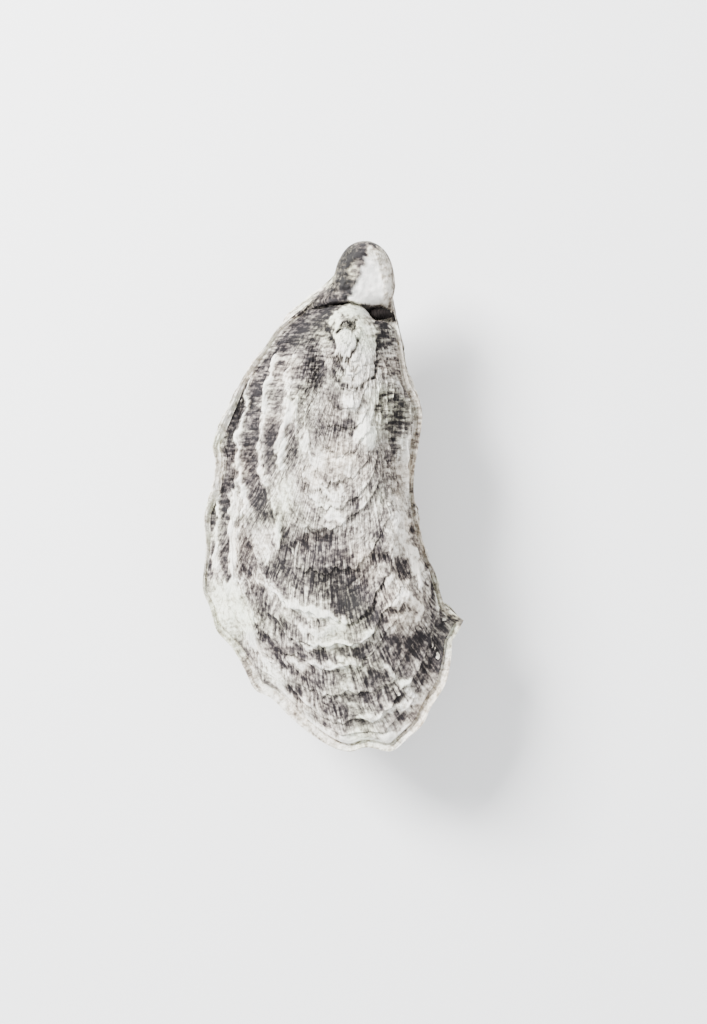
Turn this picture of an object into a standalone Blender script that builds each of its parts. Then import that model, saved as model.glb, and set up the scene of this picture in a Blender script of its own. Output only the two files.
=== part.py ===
"""A whole cupped oyster, shut, lying on its deep valve with the flat valve up.

Three solids: the cupped lower valve with its long beak, the flat upper valve
with its growth shingles, and the horny ligament in the hinge pit. The shell
is shut, so both valves are solid up to the seam where they meet.
"""
import bmesh
import bpy
import numpy as np
from mathutils import Vector, noise

# Sizes are in millimetres and are turned into metres when a mesh is written.
# +X is the oyster's right side seen from above, +Y its beak, +Z up.
MM = 0.001

# The shell's edge seen from above, from the beak's tip down the left side.
OUTLINE = [
    (6.9, 59.0), (3.5, 57.7), (1.2, 54.4), (0.0, 50.8), (-2.5, 47.5), (-6.9, 43.6),
    (-12.8, 38.8), (-16.5, 33.5), (-20.4, 28.2), (-23.6, 21.8), (-27.7, 12.6), (-27.3, 7.8),
    (-28.0, 1.3), (-29.9, -4.4), (-29.5, -12.0), (-30.2, -21.0), (-28.5, -25.8), (-26.9, -31.1),
    (-23.4, -35.0), (-20.7, -39.6), (-18.1, -44.7), (-14.2, -46.8), (-9.6, -51.4), (-4.6, -55.5),
    (0.3, -58.3), (4.0, -59.1), (7.9, -58.1), (13.2, -59.0), (16.6, -56.6), (20.7, -52.7),
    (22.6, -48.8), (25.8, -43.8), (27.1, -38.8), (27.5, -34.4), (27.3, -30.4), (26.0, -26.3),
    (24.0, -19.8), (21.4, -12.9), (19.1, -2.8), (18.7, 4.8), (20.5, 19.0), (17.3, 27.3),
    (15.5, 37.0), (13.7, 44.3), (14.4, 48.9), (13.2, 54.7), (10.6, 58.0)]
SPUR_TIP = (30.2, -28.8)
SPUR_REACH = 4.2
SPUR_BORN = 0.94

# The end of the upper valve at the hinge, from left to right.
HINGE_EDGE = [(-6.2, 43.0), (-1.0, 44.1), (4.4, 44.4), (7.2, 43.4), (9.5, 40.6), (12.7, 40.0), (14.4, 38.6)]
RIM_SHOWING = 1.5
RIM_SHOWING_AT_LIP = 0.9

# Both valves grow as rings from a point near the beak. The rings start
# narrow and straight, and the shell bends to the left as it grows.
UMBO = (4.0, 40.9)
LIP_END = (8.1, -57.3)
UPPER_BOW = 10.8
BEAK_POLE = (7.2, 53.8)
LOWER_BOW = 12.0
YOUNG_DETAIL = 3.2
YOUNG_WIDTH = 0.82
FIRST_WIDENING = 0.35
FIRST_GROWTH = 0.1
BEND_POWER = 1.4
SEAM_CENTRE_Y = -1.0

# Heights are measured from the seam between the valves.
CUP_TILT = 0.70
CUP_POWER = 0.8
FOOT_LEVEL = -21.4
SEAM_WAVE = 1.0
VALVE_GAP = 0.35
EDGE_THICKNESS = 1.0
RIM_LIFT = 0.8
LID_HEIGHT = 13.5
LID_LEFT_ROUND, LID_RIGHT_ROUND = 1.7, 2.4
EDGE_TAPER = 9

# Growth shingles. Each lip has a share of full growth at the bottom and the
# right, then one at each of the left turns from the upper left down, and a
# height. The lower valve's lips have one share all round.
LEFT_TURNS = (0.13, 0.19, 0.25, 0.31, 0.38, 0.44)
UPPER_LIPS = [
    (0.105, (0.16, 0.15, 0.135, 0.12, 0.11, 0.105), 0.5),
    (0.172, (0.29, 0.26, 0.215, 0.19, 0.175, 0.17), 0.5),
    (0.258, (0.37, 0.34, 0.295, 0.27, 0.26, 0.255), 0.6),
    (0.350, (0.45, 0.41, 0.365, 0.34, 0.33, 0.345), 0.7),
    (0.440, (0.53, 0.475, 0.435, 0.415, 0.395, 0.435), 1.0),
    (0.485, (0.66, 0.56, 0.487, 0.495, 0.49, 0.51), 1.1),
    (0.600, (0.87, 0.735, 0.675, 0.615, 0.590, 0.595), 1.3),
    (0.705, (0.960, 0.906, 0.835, 0.725, 0.715, 0.735), 1.6),
    (0.772, (0.970, 0.930, 0.860, 0.745, 0.760, 0.800), 1.2),
    (0.815, (0.977, 0.945, 0.880, 0.765, 0.800, 0.870), 1.1),
    (0.880, (0.983, 0.960, 0.897, 0.785, 0.845, 0.910), 1.0),
    (0.945, (0.988, 0.972, 0.915, 0.805, 0.875, 0.938), 1.2),
    (1.0, (1.0,) * 6, 0.0)]
LOWER_LIPS = [
    (share, (share,) * 6, height) for share, height in (
        (0.12, 0.6), (0.24, 0.9), (0.36, 1.1), (0.48, 1.2), (0.60, 1.3), (0.72, 1.4), (0.83, 1.3),
        (0.91, 1.2), (0.96, 1.0), (0.985, 0.6), (1.0, 0.0))]
WIDE_SHINGLE = 0.07
LEAST_SHINGLE = 0.012
LIP_STEP = 0.006
LIP_CURL = 2.2
SLOPE_STEP = 0.01
FIRST_RING = 0.002
FULL_LIP_BAND = 3.2
FOLD_HEIGHT = 0.9
FOLD_COUNT = 9

# Bumps and hollows of the upper valve: x, y, radius along x, radius along y, height.
UPPER_BUMPS = {
    "umbo": (3.0, 36.3, 3.2, 5.5, 1.6),
    "umbo pit": (3.6, 38.9, 2.3, 1.0, -1.3),
    "upper crest": (4.0, 21.1, 2.2, 1.7, 0.9),
    "mid crest": (7.6, 13.7, 1.6, 4.0, 1.1),
    "left trough": (-3.2, 28.0, 1.8, 4.5, -1.0),
    "shelf hollow": (-2.5, -10.4, 7.0, 3.3, -1.9),
    "large hollow": (4.9, -20.5, 7.4, 6.0, -2.2),
    "side pit": (11.4, -14.1, 1.6, 1.6, -0.8),
    "side knob": (16.6, -25.6, 4.0, 4.0, 2.4),
    "lit ledge": (-2.9, -30.4, 5.0, 2.0, 0.8),
    "spur hollow": (21.5, -34.0, 5.2, 6.0, -2.3)}
# Ridges and grooves of the upper valve: two ends, half-width, height.
UPPER_RIDGES = {
    "shoulder ridge": ((13.3, -2.8), (20.9, -18.6), 1.4, 1.3),
    "shoulder groove": ((14.5, 18.6), (11.3, 11.4), 1.4, -0.9),
    "lower ridge": ((10.2, -37.7), (21.8, -48.4), 1.6, 1.3)}

# The beak of the lower valve stands above the seam as a rounded finger. It is
# worn to a flat facet on its right, and the ligament's pit cuts its base.
BEAK_TOP = 5.6
BEAK_UNDERSIDE = 2.6
BEAK_CREST = ((7.7, 57.0), (5.9, 45.0))
BEAK_BASE_Y = 41.0
BEAK_RUN = 4.6
BEAK_TIP_ROUNDING = 3.5
BEAK_LEFT_ROUND, BEAK_RIGHT_ROUND, BEAK_FLATNESS = 1.7, 2.2, 0.62
FACET_POINT = (10.0, 51.0, 4.7)
FACET_SLOPE = (-0.22, 0.02)
PIT_CENTRE = (11.1, 42.2)
PIT_RADII = (3.4, 2.3)
PIT_DEPTH = 2.2
LIGAMENT_CENTRE = (11.0, 42.1)
LIGAMENT_RADII = (2.5, 1.3)
LIGAMENT_TOP = 2.6
LIGAMENT_CLEARANCE = 1.2
LIGAMENT_SKIRT = 0.6

SEGMENTS = 76
FINE_STATIONS = 1520


def closed_curve(points, steps=16):
    """A smooth closed curve through the points."""
    points = np.array(points)
    before, after, beyond = (np.roll(points, shift, axis=0) for shift in (1, -1, -2))
    pieces = []
    for step in range(steps):
        u = step / steps
        pieces.append(0.5 * (2 * points + (after - before) * u
                             + (2 * before - 5 * points + 4 * after - beyond) * u ** 2
                             + (3 * points - before - 3 * after + beyond) * u ** 3))
    return np.stack(pieces, axis=1).reshape(-1, 2)


def spread(path, count, closed=True):
    """Points at even distances along a path."""
    if closed:
        path = np.vstack([path, path[:1]])
    run = np.concatenate([[0], np.cumsum(np.hypot(*np.diff(path, axis=0).T))])
    share = np.arange(count) / (count if closed else count - 1)
    return np.stack([np.interp(share * run[-1], run, path[:, axis]) for axis in (0, 1)], axis=1)


def lip_growth(bottom, left):
    """A lip's growth at each station round the valve."""
    turns = np.array([-0.40, -0.25, -0.10, 0.03, *LEFT_TURNS, 0.5, 0.6, 0.75, 0.90, 1.03])
    top = bottom + 0.5 * (left[0] - bottom)
    levels = np.array([bottom, bottom, bottom, top, *left, bottom, bottom, bottom, bottom, top])
    reach = FINE_STATIONS // 20
    rounding = np.exp(-(np.arange(-reach, reach + 1) / (0.375 * reach)) ** 2)
    run = np.interp(np.arange(-reach, FINE_STATIONS + reach) / FINE_STATIONS, turns, levels)
    return np.convolve(run, rounding / rounding.sum(), "valid")


def soften(ring, detail):
    """The ring without the wiggles that go round more than detail times."""
    waves = np.fft.fft(ring[:, 0] + 1j * ring[:, 1])
    turns = np.fft.fftfreq(len(ring), 1 / len(ring))
    smooth = np.fft.ifft(waves * np.exp(-(turns / detail) ** 4))
    return np.stack([smooth.real, smooth.imag], axis=1)


def ease(value):
    """A smooth step from 0 to 1."""
    value = np.clip(value, 0, 1)
    return value * value * (3 - 2 * value)


def upper_edge(outline):
    """The upper valve's edge: inside the lower rim, and cut off at the hinge."""
    along = np.roll(outline, -1, axis=0) - np.roll(outline, 1, axis=0)
    inward = np.stack([-along[:, 1], along[:, 0]], axis=1) / np.hypot(*along.T)[:, None]
    share = np.arange(len(outline)) / len(outline)
    showing = (RIM_SHOWING + 0.5 * np.sin(2 * np.pi * 5 * share + 1)
               + RIM_SHOWING_AT_LIP * np.exp(-((share - 0.5) / 0.09) ** 2))
    edge = outline + inward * showing[:, None]
    half = len(edge) // 2
    left, right = HINGE_EDGE[0], HINGE_EDGE[-1]
    start = np.nonzero((edge[:half, 1] < left[1]) & (edge[:half, 0] < left[0]))[0][0]
    end = half + np.nonzero((edge[half:, 1] < right[1]) & (edge[half:, 0] > right[0] - 2))[0][-1]
    path = np.vstack([edge[end], np.array(HINGE_EDGE)[::-1], edge[start]])
    count = start + len(edge) - end + 1
    edge[(end + np.arange(count)) % len(edge)] = spread(path, count, closed=False)
    return edge


def middle(y, pole, bow, bend=1.0):
    """Where the bowed middle line of a valve lies at the height y of the plan."""
    along = (pole[1] - y) / (pole[1] - LIP_END[1])
    curve = 4 * along * (1 - along) * np.where(along > 0, 1, 0)
    return pole[0] + (LIP_END[0] - pole[0]) * along - bend * bow * curve


def straighten(ring, pole, bow):
    return np.stack([ring[:, 0] - middle(ring[:, 1], pole, bow), ring[:, 1] - pole[1]], axis=1)


def young_form(adult):
    """The smooth form that the shell grew from, as long as the grown one."""
    young = soften(adult, YOUNG_DETAIL)
    low, high = young[:, 1].min(), young[:, 1].max()
    young[:, 1] = np.interp(young[:, 1], [low, high], [adult[:, 1].min(), adult[:, 1].max()])
    return young


class Valve:
    """One valve's growth: rings of points from its pole out to its edge."""

    def __init__(self, edge, pole, bow, lips, spur):
        self.pole, self.bow, self.lips, self.spur = pole, bow, lips, spur
        self.adult = straighten(edge, pole, bow)
        self.young = young_form(self.adult)

    def ring(self, growth):
        """The ring's place in plan, and how far its plane is tilted down."""
        growth = np.broadcast_to(growth, len(self.adult))
        shape = self.young + growth[:, None] ** 2 * (self.adult - self.young)
        width = YOUNG_WIDTH + (1 - YOUNG_WIDTH) * growth + FIRST_WIDENING * np.exp(-growth / FIRST_GROWTH)
        tilt = self.tilt(growth)
        x = growth * width * shape[:, 0]
        y = self.pole[1] + growth * shape[:, 1] * np.cos(tilt)
        drop = growth * shape[:, 1] * np.sin(tilt)
        bend = 1 - (1 - growth) ** BEND_POWER
        x = x + middle(y, self.pole, self.bow, bend)
        born = np.clip((growth - SPUR_BORN) / (1 - SPUR_BORN), 0, 1)
        return np.stack([x, y], axis=1) + born[:, None] * self.spur, drop

    def surface(self, growth):
        """The valve's outer surface along one ring, without its shingles."""
        plan, drop = self.ring(growth)
        return np.column_stack([plan, self.height(plan, drop, growth)])

    def shingled(self, share, inner, outer, lip_height):
        """The outer surface at a share of the way up one shingle."""
        growth = inner + share * (outer - inner)
        here = self.surface(growth)
        ahead = self.surface(np.minimum(growth + SLOPE_STEP, 1.0))
        outward = ahead - self.surface(np.maximum(growth - SLOPE_STEP, FIRST_RING))
        around = np.roll(here, -6, axis=0) - np.roll(here, 6, axis=0)
        normal = np.cross(around, outward)
        normal /= np.maximum(np.linalg.norm(normal, axis=1), 1e-9)[:, None]
        if self.faces_down:
            normal = np.where(normal[:, 2:] > 0.3, -normal, normal)
        else:
            normal = np.where(normal[:, 2:] < 0, -normal, normal)
        band = np.linalg.norm(self.surface(outer) - self.surface(inner), axis=1)
        patchy = np.array([noise.noise(Vector((x, y, 0)) * 0.07 + Vector((0, 0, outer[0] * 9)))
                           for x, y in here[:, :2]])
        relief = share ** LIP_CURL * lip_height * np.minimum(1, band / FULL_LIP_BAND) * (1 + 0.9 * patchy)
        return here + normal * relief[:, None]

    def shingles(self):
        """The rings that the mesh follows: each shingle's foot, middle and lip."""
        rings = []
        inner, inner_bottom = np.zeros(len(self.adult)), 0.0
        for bottom, left, lip_height in self.lips:
            outer = np.minimum(np.maximum(lip_growth(bottom, left), inner + LEAST_SHINGLE), 1.0)
            width = outer - inner
            foot = LIP_STEP / np.maximum(width, LIP_STEP) if inner_bottom else np.full(len(width), 0.5)
            shares = [foot, 0.6 + 0 * foot, 1.0 + 0 * foot]
            if bottom - inner_bottom <= WIDE_SHINGLE:
                del shares[1]
            rings += [self.shingled(share, inner, outer, lip_height) for share in shares]
            inner, inner_bottom = outer, bottom
        return rings


class UpperValve(Valve):
    faces_down = False

    def tilt(self, growth):
        return 0.0

    def height(self, plan, drop, growth):
        taper = np.maximum(1 - growth ** EDGE_TAPER, 0.0) ** 0.6
        bumps = bump_heights(plan, UPPER_BUMPS, UPPER_RIDGES)
        return (seam_level(plan, growth ** 2) + EDGE_THICKNESS
                + taper * (self.dome(plan) + bumps))

    def dome(self, plan):
        """The lid's own rounding: a long left slope and a steep right flank."""
        x, y = plan.T
        top, bottom = self.pole[1] + self.adult[:, 1].max(), LIP_END[1]
        along = np.clip((top - y) / (top - bottom), 0, 1)
        crest = 0.15 + 0.45 * np.exp(-((along - 0.53) / 0.24) ** 2)
        off_middle = x - middle(y, self.pole, self.bow)
        side = off_middle / self.half_width(y, off_middle > 0)
        right = side > crest
        away = np.abs(side - crest) / np.where(right, 1 - crest, 1 + crest)
        across = 1 - np.minimum(away, 1) ** np.where(right, LID_RIGHT_ROUND, LID_LEFT_ROUND)
        return LID_HEIGHT * (along + 0.04) ** 0.35 * (1 - along ** 2.6) * across

    def half_width(self, y, right_side):
        edge = self.adult
        widths = []
        for side in (-1, 1):
            chain = edge[edge[:, 0] * side > 0]
            chain = chain[np.argsort(chain[:, 1])]
            widths.append(np.interp(y - self.pole[1], chain[:, 1], np.abs(chain[:, 0])))
        return np.maximum(np.where(right_side, widths[1], widths[0]), 2.0)


class LowerValve(Valve):
    faces_down = True

    def __init__(self, edge, pole, bow, lips, spur, beak):
        super().__init__(edge, pole, bow, lips, spur)
        self.beak = beak

    def tilt(self, growth):
        return CUP_TILT * (1 - growth) ** CUP_POWER

    def height(self, plan, drop, growth):
        rim = (seam_level(plan, 1) + RIM_LIFT) * growth ** 3
        share = np.arange(len(plan)) / len(plan)
        folds = np.cos(2 * np.pi * FOLD_COUNT * share + 1.3 * np.sin(4 * np.pi * share))
        clear_of_beak = 1 - np.exp(-(np.minimum(share, 1 - share) / 0.12) ** 2)
        swell = FOLD_HEIGHT * growth * (1 - growth) * 4 * clear_of_beak
        return drop + rim - swell * folds - BEAK_UNDERSIDE * self.beak.round(plan)


class Beak:
    """The finger that the lower valve's hinge end stands up in."""

    def __init__(self, outline):
        sixth = len(outline) // 6
        self.left_side = outline[:sixth][::-1]
        self.right_side = np.roll(outline, -1, axis=0)[-sixth:]
        self.tip_y = outline[:, 1].max()

    def round(self, plan):
        """How far the beak stands up: 0 at its outline and 1 on its crest."""
        x, y = plan.T
        (top_x, top_y), (low_x, low_y) = BEAK_CREST
        crest = low_x + (top_x - low_x) * (y - low_y) / (top_y - low_y)
        left = np.minimum(np.interp(y, self.left_side[:, 1], self.left_side[:, 0]), crest - 0.2)
        right = np.maximum(np.interp(y, self.right_side[:, 1], self.right_side[:, 0]), crest + 0.2)
        on_left = x < crest
        away = np.where(on_left, (crest - x) / (crest - left), (x - crest) / (right - crest))
        power = np.where(on_left, BEAK_LEFT_ROUND, BEAK_RIGHT_ROUND)
        bulge = (1 - np.clip(away, 0, 1) ** power) ** BEAK_FLATNESS
        tip = np.clip((self.tip_y - y) / BEAK_TIP_ROUNDING, 0, 1)
        return bulge * ease((y - BEAK_BASE_Y) / BEAK_RUN) * np.sqrt(1 - (1 - tip) ** 2)

    def height(self, plan):
        """The beak above the rim, with its worn facet and the hinge pit."""
        x, y = plan.T
        facet = (FACET_POINT[2] + FACET_SLOPE[0] * (x - FACET_POINT[0])
                 + FACET_SLOPE[1] * (y - FACET_POINT[1]))
        finger = np.minimum(BEAK_TOP * self.round(plan), np.maximum(facet, 0))
        pit = np.exp(-(((plan - PIT_CENTRE) / PIT_RADII) ** 2).sum(axis=1))
        return finger * (1 - pit) - PIT_DEPTH * pit


def seam_level(plan, share):
    """The level where the valves meet: wavy at the edge, flat inside."""
    x, y = plan.T
    calm = ease((40 - y) / 16)
    return SEAM_WAVE * np.sin(0.11 * y + 0.045 * x + 0.5) * share * calm


def bump_heights(plan, bumps, ridges):
    x, y = plan.T
    total = np.zeros(len(plan))
    for centre_x, centre_y, radius_x, radius_y, height in bumps.values():
        total += height * np.exp(-((x - centre_x) / radius_x) ** 2 - ((y - centre_y) / radius_y) ** 2)
    for start, end, half_width, height in ridges.values():
        start, end = np.array(start), np.array(end)
        line = end - start
        share = np.clip((plan - start) @ line / (line @ line), 0, 1)
        distance = np.linalg.norm(plan - start - share[:, None] * line, axis=1)
        total += height * np.exp(-(distance / half_width) ** 2)
    return total


def toward_seam_centre(edge, share, pole, bow):
    """The edge drawn in towards the middle of the seam, along the bowed shell."""
    straight = straighten(edge, pole, bow)
    y = SEAM_CENTRE_Y + share * (edge[:, 1] - SEAM_CENTRE_Y)
    return np.stack([share * straight[:, 0] + middle(y, pole, bow), y], axis=1)


def pick(ring):
    """The coarse mesh's share of the fine stations."""
    return ring[::FINE_STATIONS // SEGMENTS]


def shell_mesh(name, first_pole, rings, last_pole):
    """A ball whose rings are moved onto the given ones, from pole to pole."""
    bands = len(rings) + 1
    shell = bmesh.new()
    bmesh.ops.create_uvsphere(shell, u_segments=SEGMENTS, v_segments=bands, radius=1)
    for vertex in shell.verts:
        down = int(round(np.arccos(np.clip(vertex.co.z, -1, 1)) / np.pi * bands))
        turn = int(round(np.arctan2(vertex.co.y, vertex.co.x) / (2 * np.pi) * SEGMENTS)) % SEGMENTS
        if down == 0:
            place = first_pole
        elif down == bands:
            place = last_pole
        else:
            place = rings[down - 1][turn]
        vertex.co = [MM * (value - lift) for value, lift in zip(place, (0, 0, FOOT_LEVEL))]
    mesh = bpy.data.meshes.new(name)
    shell.to_mesh(mesh)
    shell.free()
    return mesh


def make_material(name, colour, roughness):
    material = bpy.data.materials.new(name)
    material.use_nodes = True
    shader = material.node_tree.nodes["Principled BSDF"]
    shader.inputs["Base Color"].default_value = (*colour, 1)
    shader.inputs["Roughness"].default_value = roughness
    shader.inputs["Metallic"].default_value = 0
    return material


def add_part(name, mesh, material, collection):
    part = bpy.data.objects.new(name, mesh)
    part.data.materials.append(material)
    part.data.shade_smooth()
    collection.objects.link(part)
    return part


def build_shapes():
    """The beak, and both valves' growth with the spur that ends it."""
    outline = spread(closed_curve(OUTLINE), FINE_STATIONS)
    gap = np.linalg.norm(outline - np.array(SPUR_TIP), axis=1)
    stride = FINE_STATIONS // SEGMENTS
    nearest = int(round(gap.argmin() / stride)) * stride
    spacing = np.linalg.norm(np.diff(outline, axis=0), axis=1).mean()
    steps = np.abs(np.arange(FINE_STATIONS) - nearest) * spacing
    strength = np.clip(1 - steps / SPUR_REACH, 0, 1)
    spur = strength[:, None] * (np.array(SPUR_TIP) - outline[nearest])
    beak = Beak(outline)
    upper = UpperValve(upper_edge(outline), UMBO, UPPER_BOW, UPPER_LIPS, spur * 0.8)
    lower = LowerValve(outline, BEAK_POLE, LOWER_BOW, LOWER_LIPS, spur, beak)
    return beak, upper, lower


def seam_rings(edge, level):
    """Rings on the seam, from near its middle out to the upper valve's edge."""
    rings = []
    for share in (0.3, 0.6, 0.84, 0.95):
        plan = toward_seam_centre(edge, share, UMBO, UPPER_BOW)
        rings.append(np.column_stack([plan, seam_level(plan, share ** 2) + level]))
    return rings


def make_upper_valve(upper, collection):
    top = upper.shingles()
    edge = upper.ring(1.0)[0]
    under_edge = toward_seam_centre(edge, 0.992, UMBO, UPPER_BOW)
    rim = np.column_stack([under_edge, seam_level(under_edge, 1) + VALVE_GAP])
    inner = seam_rings(edge, VALVE_GAP)
    pole = upper.surface(FIRST_RING).mean(axis=0)
    centre = (middle(SEAM_CENTRE_Y, UMBO, UPPER_BOW), SEAM_CENTRE_Y, VALVE_GAP)
    rings = [pick(ring) for ring in top + [rim] + inner[::-1]]
    mesh = shell_mesh("upper_valve", pole, rings, centre)
    material = make_material("lid_shell", (0.42, 0.38, 0.33), 0.7)
    return add_part("upper_valve", mesh, material, collection)


def make_lower_valve(upper, lower, collection):
    inner_edge = upper.ring(1.0)[0]
    outer_edge = lower.ring(1.0)[0]
    top = seam_rings(inner_edge, 0)
    top.append(np.column_stack([inner_edge, seam_level(inner_edge, 1)]))
    for share in (0.12, 0.28, 0.5, 0.72, 0.88, 0.97):
        plan = inner_edge + share * (outer_edge - inner_edge)
        height = seam_level(plan, 1) + RIM_LIFT * ease(share) + lower.beak.height(plan) * ease(share / 0.1)
        top.append(np.column_stack([plan, height]))
    cup = lower.shingles()
    centre = (middle(SEAM_CENTRE_Y, UMBO, UPPER_BOW), SEAM_CENTRE_Y, 0)
    pole = (*BEAK_POLE, 0)
    rings = [pick(ring) for ring in top + cup[::-1]]
    mesh = shell_mesh("lower_valve", centre, rings, pole)
    cut_foot(mesh)
    material = make_material("cup_shell", (0.46, 0.42, 0.37), 0.75)
    return add_part("lower_valve", mesh, material, collection)


def cut_foot(mesh):
    """Takes a thin slice off the cup's lowest point, so that it lies still."""
    cup = bmesh.new()
    cup.from_mesh(mesh)
    parts = cup.verts[:] + cup.edges[:] + cup.faces[:]
    cut = bmesh.ops.bisect_plane(cup, geom=parts, dist=1e-7, plane_co=(0, 0, 0),
                                 plane_no=(0, 0, 1), clear_inner=True)
    rim = [part for part in cut["geom_cut"] if isinstance(part, bmesh.types.BMEdge)]
    fill = bmesh.ops.triangle_fill(cup, edges=rim, use_beauty=True)
    for face in fill["geom"]:
        if isinstance(face, bmesh.types.BMFace):
            face.normal_update()
            if face.normal.z > 0:
                face.normal_flip()
    bmesh.ops.triangulate(cup, faces=cup.faces)
    cup.to_mesh(mesh)
    cup.free()


def make_ligament(beak, collection):
    """The dark horny plug that shows in the pit between beak and lid."""
    plug = bmesh.new()
    bmesh.ops.create_uvsphere(plug, u_segments=14, v_segments=8, radius=1)
    for vertex in plug.verts:
        x = LIGAMENT_CENTRE[0] + LIGAMENT_RADII[0] * vertex.co.x
        y = LIGAMENT_CENTRE[1] + LIGAMENT_RADII[1] * vertex.co.y
        plan = np.array([(x, y)])
        floor = beak.height(plan)[0] + LIGAMENT_CLEARANCE
        if vertex.co.z < 0:
            z = floor + LIGAMENT_SKIRT * (1 + vertex.co.z)
        else:
            z = floor + LIGAMENT_SKIRT + (LIGAMENT_TOP - floor - LIGAMENT_SKIRT) * vertex.co.z
        vertex.co = (MM * x, MM * y, MM * (z - FOOT_LEVEL))
    bmesh.ops.recalc_face_normals(plug, faces=plug.faces)
    mesh = bpy.data.meshes.new("hinge_ligament")
    plug.to_mesh(mesh)
    plug.free()
    material = make_material("ligament", (0.05, 0.035, 0.02), 0.5)
    return add_part("hinge_ligament", mesh, material, collection)


def main():
    for old in list(bpy.data.objects):
        bpy.data.objects.remove(old, do_unlink=True)
    collection = bpy.data.collections.new("closed_oyster")
    bpy.context.scene.collection.children.link(collection)
    beak, upper, lower = build_shapes()
    make_lower_valve(upper, lower, collection)
    make_upper_valve(upper, collection)
    make_ligament(beak, collection)


main()
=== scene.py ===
"""The looks of a whole cupped oyster, shut, seen from above on its flat valve."""

import bmesh
import bpy
import numpy as np
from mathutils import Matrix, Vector


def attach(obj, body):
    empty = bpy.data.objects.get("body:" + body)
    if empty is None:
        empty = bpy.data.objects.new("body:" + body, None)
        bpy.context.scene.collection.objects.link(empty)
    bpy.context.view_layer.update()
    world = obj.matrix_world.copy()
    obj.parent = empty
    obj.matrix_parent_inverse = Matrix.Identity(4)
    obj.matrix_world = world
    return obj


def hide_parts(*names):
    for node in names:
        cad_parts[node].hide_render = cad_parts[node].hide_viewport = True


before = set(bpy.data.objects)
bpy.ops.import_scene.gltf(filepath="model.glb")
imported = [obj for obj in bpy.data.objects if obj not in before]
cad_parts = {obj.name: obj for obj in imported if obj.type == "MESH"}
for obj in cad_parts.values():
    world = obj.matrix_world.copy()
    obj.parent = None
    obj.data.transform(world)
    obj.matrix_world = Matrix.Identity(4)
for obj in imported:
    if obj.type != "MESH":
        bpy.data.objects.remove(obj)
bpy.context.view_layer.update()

# The lower valve: the deep cup that the oyster lies on, of chalky shell laid
# down in shingles. Its rim shows all round the lid, and its beak stands up at
# the hinge end. It is made as a ball whose rings are moved onto growth rings.
MM = 0.001
# Places are in millimetres: x to the right, y towards the hinge, z up from the seam.
OUTLINE = [
    (6.9, 59.0), (3.5, 57.7), (1.2, 54.4), (0.0, 50.8), (-2.5, 47.5), (-6.9, 43.6),
    (-12.8, 38.8), (-16.5, 33.5), (-20.4, 28.2), (-23.6, 21.8), (-27.7, 12.6), (-27.3, 7.8),
    (-28.0, 1.3), (-29.9, -4.4), (-29.5, -12.0), (-30.2, -21.0), (-28.5, -25.8), (-26.9, -31.1),
    (-23.4, -35.0), (-20.7, -39.6), (-18.1, -44.7), (-14.2, -46.8), (-9.6, -51.4), (-4.6, -55.5),
    (0.3, -58.3), (4.0, -59.1), (7.9, -58.1), (13.2, -59.0), (16.6, -56.6), (20.7, -52.7),
    (22.6, -48.8), (25.8, -43.8), (27.1, -38.8), (27.5, -34.4), (27.3, -30.4), (26.0, -26.3),
    (24.0, -19.8), (21.4, -12.9), (19.1, -2.8), (18.7, 4.8), (20.5, 19.0), (17.3, 27.3),
    (15.5, 37.0), (13.7, 44.3), (14.4, 48.9), (13.2, 54.7), (10.6, 58.0)]
SPUR_TIP = (30.2, -28.8)
SPUR_REACH = 4.2
SPUR_BORN = 0.94
LIP_END = (8.1, -57.3)
BEAK_POLE = (7.2, 53.8)
LOWER_BOW = 12.0
YOUNG_WAVES = 3.2
YOUNG_WIDTH = 0.82
FIRST_GROWTH = 0.26
FLARE, FLARE_GROWTH = 0.35, 0.1
BEND_POWER = 1.4
CUP_TILT = 0.70
CUP_POWER = 0.8
FOOT_LEVEL = -21.4
RIM_LIFT = 0.8
STATIONS = 480


def closed_curve(points, steps=16):
    """A smooth closed curve through the points."""
    points = np.array(points)
    before, after, beyond = (np.roll(points, shift, axis=0) for shift in (1, -1, -2))
    pieces = []
    for step in range(steps):
        u = step / steps
        pieces.append(0.5 * (2 * points + (after - before) * u
                             + (2 * before - 5 * points + 4 * after - beyond) * u ** 2
                             + (3 * points - before - 3 * after + beyond) * u ** 3))
    return np.stack(pieces, axis=1).reshape(-1, 2)


def spread(path, count, closed=True):
    """Points at even distances along a path."""
    if closed:
        path = np.vstack([path, path[:1]])
    run = np.concatenate([[0], np.cumsum(np.hypot(*np.diff(path, axis=0).T))])
    share = np.arange(count) / (count if closed else count - 1)
    return np.stack([np.interp(share * run[-1], run, path[:, axis]) for axis in (0, 1)], axis=1)


def ease(value):
    """A smooth step from 0 to 1."""
    value = np.clip(value, 0, 1)
    return value * value * (3 - 2 * value)


def mounds(plan, centre, radii):
    """A smooth mound of height 1 round a centre."""
    return np.exp(-(((plan - np.array(centre)) / np.array(radii)) ** 2).sum(axis=-1))


def uneven(places, size, seed, waves=18):
    """Random swells of about the given size, from -1 to 1."""
    draw = np.random.default_rng(seed)
    heading = draw.normal(size=(places.shape[-1], waves))
    heading *= 2 * np.pi / size * draw.uniform(0.6, 1.5, waves) / np.linalg.norm(heading, axis=0)
    phase = draw.uniform(0, 2 * np.pi, waves)
    total = np.zeros(places.shape[:-1])
    for wave in range(waves):
        total += np.cos(places @ heading[:, wave] + phase[wave])
    return np.clip(total / np.sqrt(waves * 2), -1, 1)


def middle(y, pole, bow, bend=1.0):
    """Where the bowed middle line of a valve lies."""
    along = (pole[1] - y) / (pole[1] - LIP_END[1])
    curve = 4 * along * (1 - along) * (along > 0)
    return pole[0] + (LIP_END[0] - pole[0]) * along - bend * bow * curve


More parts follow.
